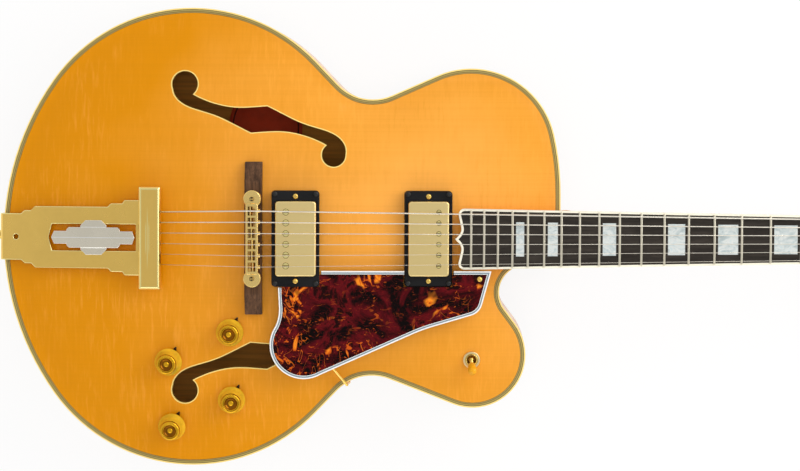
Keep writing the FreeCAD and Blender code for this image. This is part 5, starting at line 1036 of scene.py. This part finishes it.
class GUITAR_OT_controls(bpy.types.Operator):
    """Build the knobs, pointers, selector switch and output socket"""

    bl_idname = "guitar.controls"
    bl_label = "Controls"
    bl_options = {"REGISTER", "UNDO"}

    # Steps of the turned shapes
    KNOB_STEPS = 64
    TIP_STEPS = 40

    # Least length and most height of a pointer, and radius of the hollow in the switch nut
    POINTER_LENGTH = 14 * MM
    POINTER_HEIGHT = 9 * MM
    HOLLOW_R = 4.6 * MM

    def execute(self, context):
        """Build this step."""
        tones = finishes()
        skins = [amber_finish("knob_amber", tones.amber, 0.75),
                 amber_finish("knob_painted_shade", tones.knob_shade, 0.75),
                 amber_finish("knob_side", tones.knob_side, 0.12)]
        for name in ("neck_volume", "neck_tone", "bridge_volume", "bridge_tone"):
            self.knob("knob_" + name, skins)
        gold = metal_finish("control_gold", tones.gold, 0.26)
        carry(gold, "output_jack")
        self.nut(tones)
        self.pointers(tones)
        self.lever(gold, amber_finish("tip_amber", tones.tip, 0.0))
        return {"FINISHED"}

    def knob(self, node, skins):
        """Turned knob over its shaft, its sunk rings painted dark as their shade."""
        shape = lathe([(radius * MM, height * MM) for radius, height in KNOB_PROFILE_MM], self.KNOB_STEPS)
        for face in shape.faces:
            middle = face.calc_center_median()
            radius = middle.xy.length
            if middle.z < KNOB_SHOULDER_MM * MM:
                face.material_index = 2
            # Painted shade in the dips and at the shoulder
            elif any(low * MM < radius < high * MM for low, high in KNOB_SHADE_RINGS_MM):
                face.material_index = 1
        joint = JOINTS[node + "_turn"]
        bmesh.ops.transform(shape, matrix=stood_along(joint["pos_m"], joint["axis"]), verts=shape.verts)
        finish_piece(shape, node + "_cap", node, skins, 50.0)

    def pointers(self, tones):
        """Potentiometers with bare cans and nuts, and their pointers painted dark as the shade under the knobs."""
        shape = merged_copy("potentiometers")
        for group in joined(shape.faces):
            low, high = extent(corners_of(group))
            size = high - low
            if max(size.xy) > self.POINTER_LENGTH and size.z < self.POINTER_HEIGHT:
                paint(group, 1)
        steel = metal_finish("pot_steel", tones.steel, 0.35)
        dark = metal_finish("pointer_painted_shade", tones.pointer, 0.32)
        finish_piece(shape, "control_pots", "potentiometers", [steel, dark])

    def nut(self, tones):
        """Pale gold nut of the switch, with painted shade in its hollow and painted highlight on its rounded
        edges.
        """
        shape = merged_copy("selector_switch")
        pivot = Vector(JOINTS["selector_swing"]["pos_m"])
        for face in shape.faces:
            out = [(vert.co - pivot).to_2d().length for vert in face.verts]
            if sum(out) / len(out) < self.HOLLOW_R:
                # Painted shade in the hollow
                face.material_index = 2
        skins = [metal_finish("switch_gold", tones.nut, 0.30),
                 # Paler finish on the rounded edges of the nut: painted highlight
                 metal_finish("nut_edge_highlight", tones.bright_gold_and_edge_highlight, 0.18),
                 metal_finish("nut_hollow_shade", tones.nut_hollow_shade, 0.30)]
        piece = finish_piece(shape, "selector_nut", "selector_switch", skins)
        soften(piece, details().casing_edge, skin=1)

    def lever(self, gold, amber):
        """Switch lever with its amber tip."""
        shape = merged_copy("selector_lever", False)
        pieces = [corners_of(group) for group in joined(shape.faces)]
        tip = max(pieces, key=lambda corners: extent(corners)[1].z)
        pivot = Vector(JOINTS["selector_swing"]["pos_m"])
        way = (middle_of(tip) - pivot).normalized()
        reach = max((vert.co - pivot).dot(way) for vert in tip)
        bmesh.ops.delete(shape, geom=list(tip), context="VERTS")
        cap = lathe([(radius * MM, reach - depth * MM) for radius, depth in TIP_PROFILE_MM], self.TIP_STEPS)
        bmesh.ops.transform(cap, matrix=stood_along(pivot, way), verts=cap.verts)
        paint(cap.faces, 1)
        held = bpy.data.meshes.new("tip")
        cap.to_mesh(held)
        cap.free()
        shape.from_mesh(held)
        bpy.data.meshes.remove(held)
        finish_piece(shape, "selector_lever_tip", "selector_lever", [gold, amber], 50.0)


class GUITAR_OT_tuners(bpy.types.Operator):
    """Dress the tuning machines"""

    bl_idname = "guitar.tuners"
    bl_label = "Tuning machines"
    bl_options = {"REGISTER", "UNDO"}

    def execute(self, context):
        """Build this step."""
        gold = metal_finish("tuner_gold", finishes().gold, 0.24)
        rounded_copy("tuner_housings", "tuner_shells", gold, details().casing_edge)
        for number in STRING_NUMBERS:
            carry(gold, "tuner_key_%d" % number, "tuner_post_%d" % number)
        return {"FINISHED"}


class GUITAR_OT_label(bpy.types.Operator):
    """Lay a plain paper label on the inside of the back, under the bass f-hole"""

    bl_idname = "guitar.label"
    bl_label = "Inside label"
    bl_options = {"REGISTER", "UNDO"}

    # Depth under the rim's top from which the back is sought, lift over the back and thickness of the paper
    SEEK_DEPTH = 30 * MM
    PAPER_LIFT = 0.5 * MM
    PAPER_T = 0.2 * MM

    def execute(self, context):
        """Build this step."""
        sizes = details()
        back = search_tree("back_plate")
        shape = bmesh.new()
        bmesh.ops.create_grid(shape, x_segments=24, y_segments=16, size=0.5)
        middle = Vector((NECK_END_X - sizes.label_x, sizes.label_y, RIM_TOP_Z - self.SEEK_DEPTH))
        for vert in shape.verts:
            x, y = 2 * vert.co.x, 2 * vert.co.y
            round_x = x * math.sqrt(1 - y * y / 2) / 2
            round_y = y * math.sqrt(1 - x * x / 2) / 2
            offset = Vector((round_x * sizes.label_length, round_y * sizes.label_width, 0))
            place = back.ray_cast(middle + offset, (0, 0, -1))[0]
            if place is None:
                raise RuntimeError("the label misses the back")
            vert.co = place + Vector((0, 0, self.PAPER_LIFT))
        piece = new_piece(shape, "paper_label", [paper_finish()])
        sheet = piece.modifiers.new("paper", "SOLIDIFY")
        sheet.thickness = self.PAPER_T
        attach(piece, "guitar")
        return {"FINISHED"}


class GUITAR_OT_stage(bpy.types.Operator):
    """Set up the floor, the light and the camera"""

    bl_idname = "guitar.stage"
    bl_label = "Stage"
    bl_options = {"REGISTER", "UNDO"}

    def execute(self, context):
        """Build this step."""
        self.settings = context.scene.guitar_stage
        self.floor()
        self.world()
        self.lamp("key_box", place=(1.5, 0.9, 1.3), aim=(-0.15, 0.0, 0.1), size=(2.2, 1.6), power=29.0)
        overhead = self.lamp("overhead_box", place=(-0.15, 0.05, 2.75), aim=(-0.15, 0.05, 0.1),
                             size=(1.1, 1.0), power=13.0)
        overhead.visible_glossy = False
        self.lamp("fill_box", place=(-0.4, -1.7, 1.0), aim=(-0.2, 0.0, 0.1), size=(1.6, 0.9), power=6.0)
        self.camera()
        context.scene.view_settings.view_transform = "Standard"
        return {"FINISHED"}

    def floor(self):
        """Pale floor that keeps a soft shadow."""
        shape = bmesh.new()
        bmesh.ops.create_grid(shape, x_segments=2, y_segments=2, size=6.0)
        made = Finish("pale_floor")
        made.set(Base_Color=rgba(self.settings.floor), Roughness=0.9)
        path = made.add("LightPath").outputs
        seen = made.math("MAXIMUM", path["Is Camera Ray"], path["Is Glossy Ray"])
        glow = made.add("Emission", {"Color": (1, 1, 1, 1), "Strength": 1.0})
        blend = made.add("MixShader", {0: made.math("MULTIPLY", seen, 0.88), 1: made.shader.outputs[0],
                                       2: glow.outputs[0]})
        output = made.tree.nodes["Material Output"]
        made.tree.links.new(blend.outputs[0], output.inputs["Surface"])
        new_piece(shape, "floor", [made.material])

    def world(self):
        """Pale surroundings, dimmer overhead, and white where they are seen."""
        world = bpy.data.worlds.new("studio")
        bpy.context.scene.world = world
        world.use_nodes = True
        made = Shading(world.node_tree)
        height = made.add("SeparateXYZ", {0: made.add("TexCoord").outputs["Generated"]}).outputs["Z"]
        fade = made.span(height, 0.35, 0.95, 0.74, 0.58)
        seen = made.add("LightPath").outputs["Is Camera Ray"]
        back = made.tree.nodes["Background"].inputs
        made.plug(back["Color"], (1, 1, 1, 1))
        made.plug(back["Strength"], made.span(seen, 0.0, 1.0, fade, 1.0))

    def lamp(self, name, place, aim, size, power):
        """Rectangular soft box aimed at the body."""
        light = bpy.data.lights.new(name, "AREA")
        light.shape = "RECTANGLE"
        light.size, light.size_y = size
        light.energy = power
        lamp = bpy.data.objects.new(name, light)
        lamp.location = place
        way = Vector(aim) - Vector(place)
        lamp.rotation_euler = way.to_track_quat("-Z", "Y").to_euler()
        lamp.visible_camera = False
        bpy.context.scene.collection.objects.link(lamp)
        return lamp

    def camera(self):
        """Camera over the body, looking down with the bass side up."""
        marks = self.settings
        rim = Vector((NECK_END_X, 0.0, RIM_TOP_Z))
        place = rim + Vector((marks.camera_x, marks.camera_y, marks.camera_height))
        aim = rim + Vector((marks.look_x, marks.look_y, 0.0))
        data = bpy.data.cameras.new("camera")
        camera = bpy.data.objects.new("camera", data)
        bpy.context.scene.collection.objects.link(camera)
        ahead = (aim - place).normalized()
        right = ahead.cross(Vector((0, 1, 0))).normalized()
        up = right.cross(ahead)
        turn = Matrix((right, up, -ahead)).transposed().to_4x4()
        camera.matrix_world = Matrix.Translation(place) @ turn @ Matrix.Rotation(marks.roll, 4, "Z")
        data.sensor_width = 36.0
        data.lens = data.sensor_width * marks.pixels_per_metre * (aim - place).length / PHOTO_WIDTH
        data.clip_end = 50.0
        bpy.context.scene.camera = camera


PIECES = (GUITAR_OT_body, GUITAR_OT_bindings, GUITAR_OT_fingerboard, GUITAR_OT_strings, GUITAR_OT_bridge,
          GUITAR_OT_tailpiece, GUITAR_OT_pickups, GUITAR_OT_pickguard, GUITAR_OT_controls, GUITAR_OT_tuners,
          GUITAR_OT_label, GUITAR_OT_stage)


class GUITAR_PT_panel(bpy.types.Panel):
    """Building steps of the guitar"""

    bl_idname = "GUITAR_PT_panel"
    bl_label = "Archtop Guitar"
    bl_space_type = "VIEW_3D"
    bl_region_type = "UI"
    bl_category = "Guitar"

    def draw(self, context):
        """List the steps and settings."""
        for step in PIECES:
            self.layout.operator(step.bl_idname)
        scene = context.scene
        for group in (scene.guitar_finishes, scene.guitar_details, scene.guitar_stage):
            box = self.layout.box()
            for key in group.bl_rna.properties.keys():
                if key not in ("rna_type", "name"):
                    box.prop(group, key)


CLASSES = (GuitarFinishes, GuitarDetails, GuitarStage) + PIECES + (GUITAR_PT_panel,)


def register():
    """Register the classes and the scene's settings."""
    for entry in CLASSES:
        bpy.utils.register_class(entry)
    bpy.types.Scene.guitar_finishes = bpy.props.PointerProperty(type=GuitarFinishes)
    bpy.types.Scene.guitar_details = bpy.props.PointerProperty(type=GuitarDetails)
    bpy.types.Scene.guitar_stage = bpy.props.PointerProperty(type=GuitarStage)


def unregister():
    """Remove the settings and the classes."""
    del bpy.types.Scene.guitar_stage
    del bpy.types.Scene.guitar_details
    del bpy.types.Scene.guitar_finishes
    for entry in reversed(CLASSES):
        bpy.utils.unregister_class(entry)


def main():
    """Build everything in order."""
    register()
    for step in PIECES:
        group, name = step.bl_idname.split(".")
        getattr(getattr(bpy.ops, group), name)()


if __name__ == "__main__":
    main()
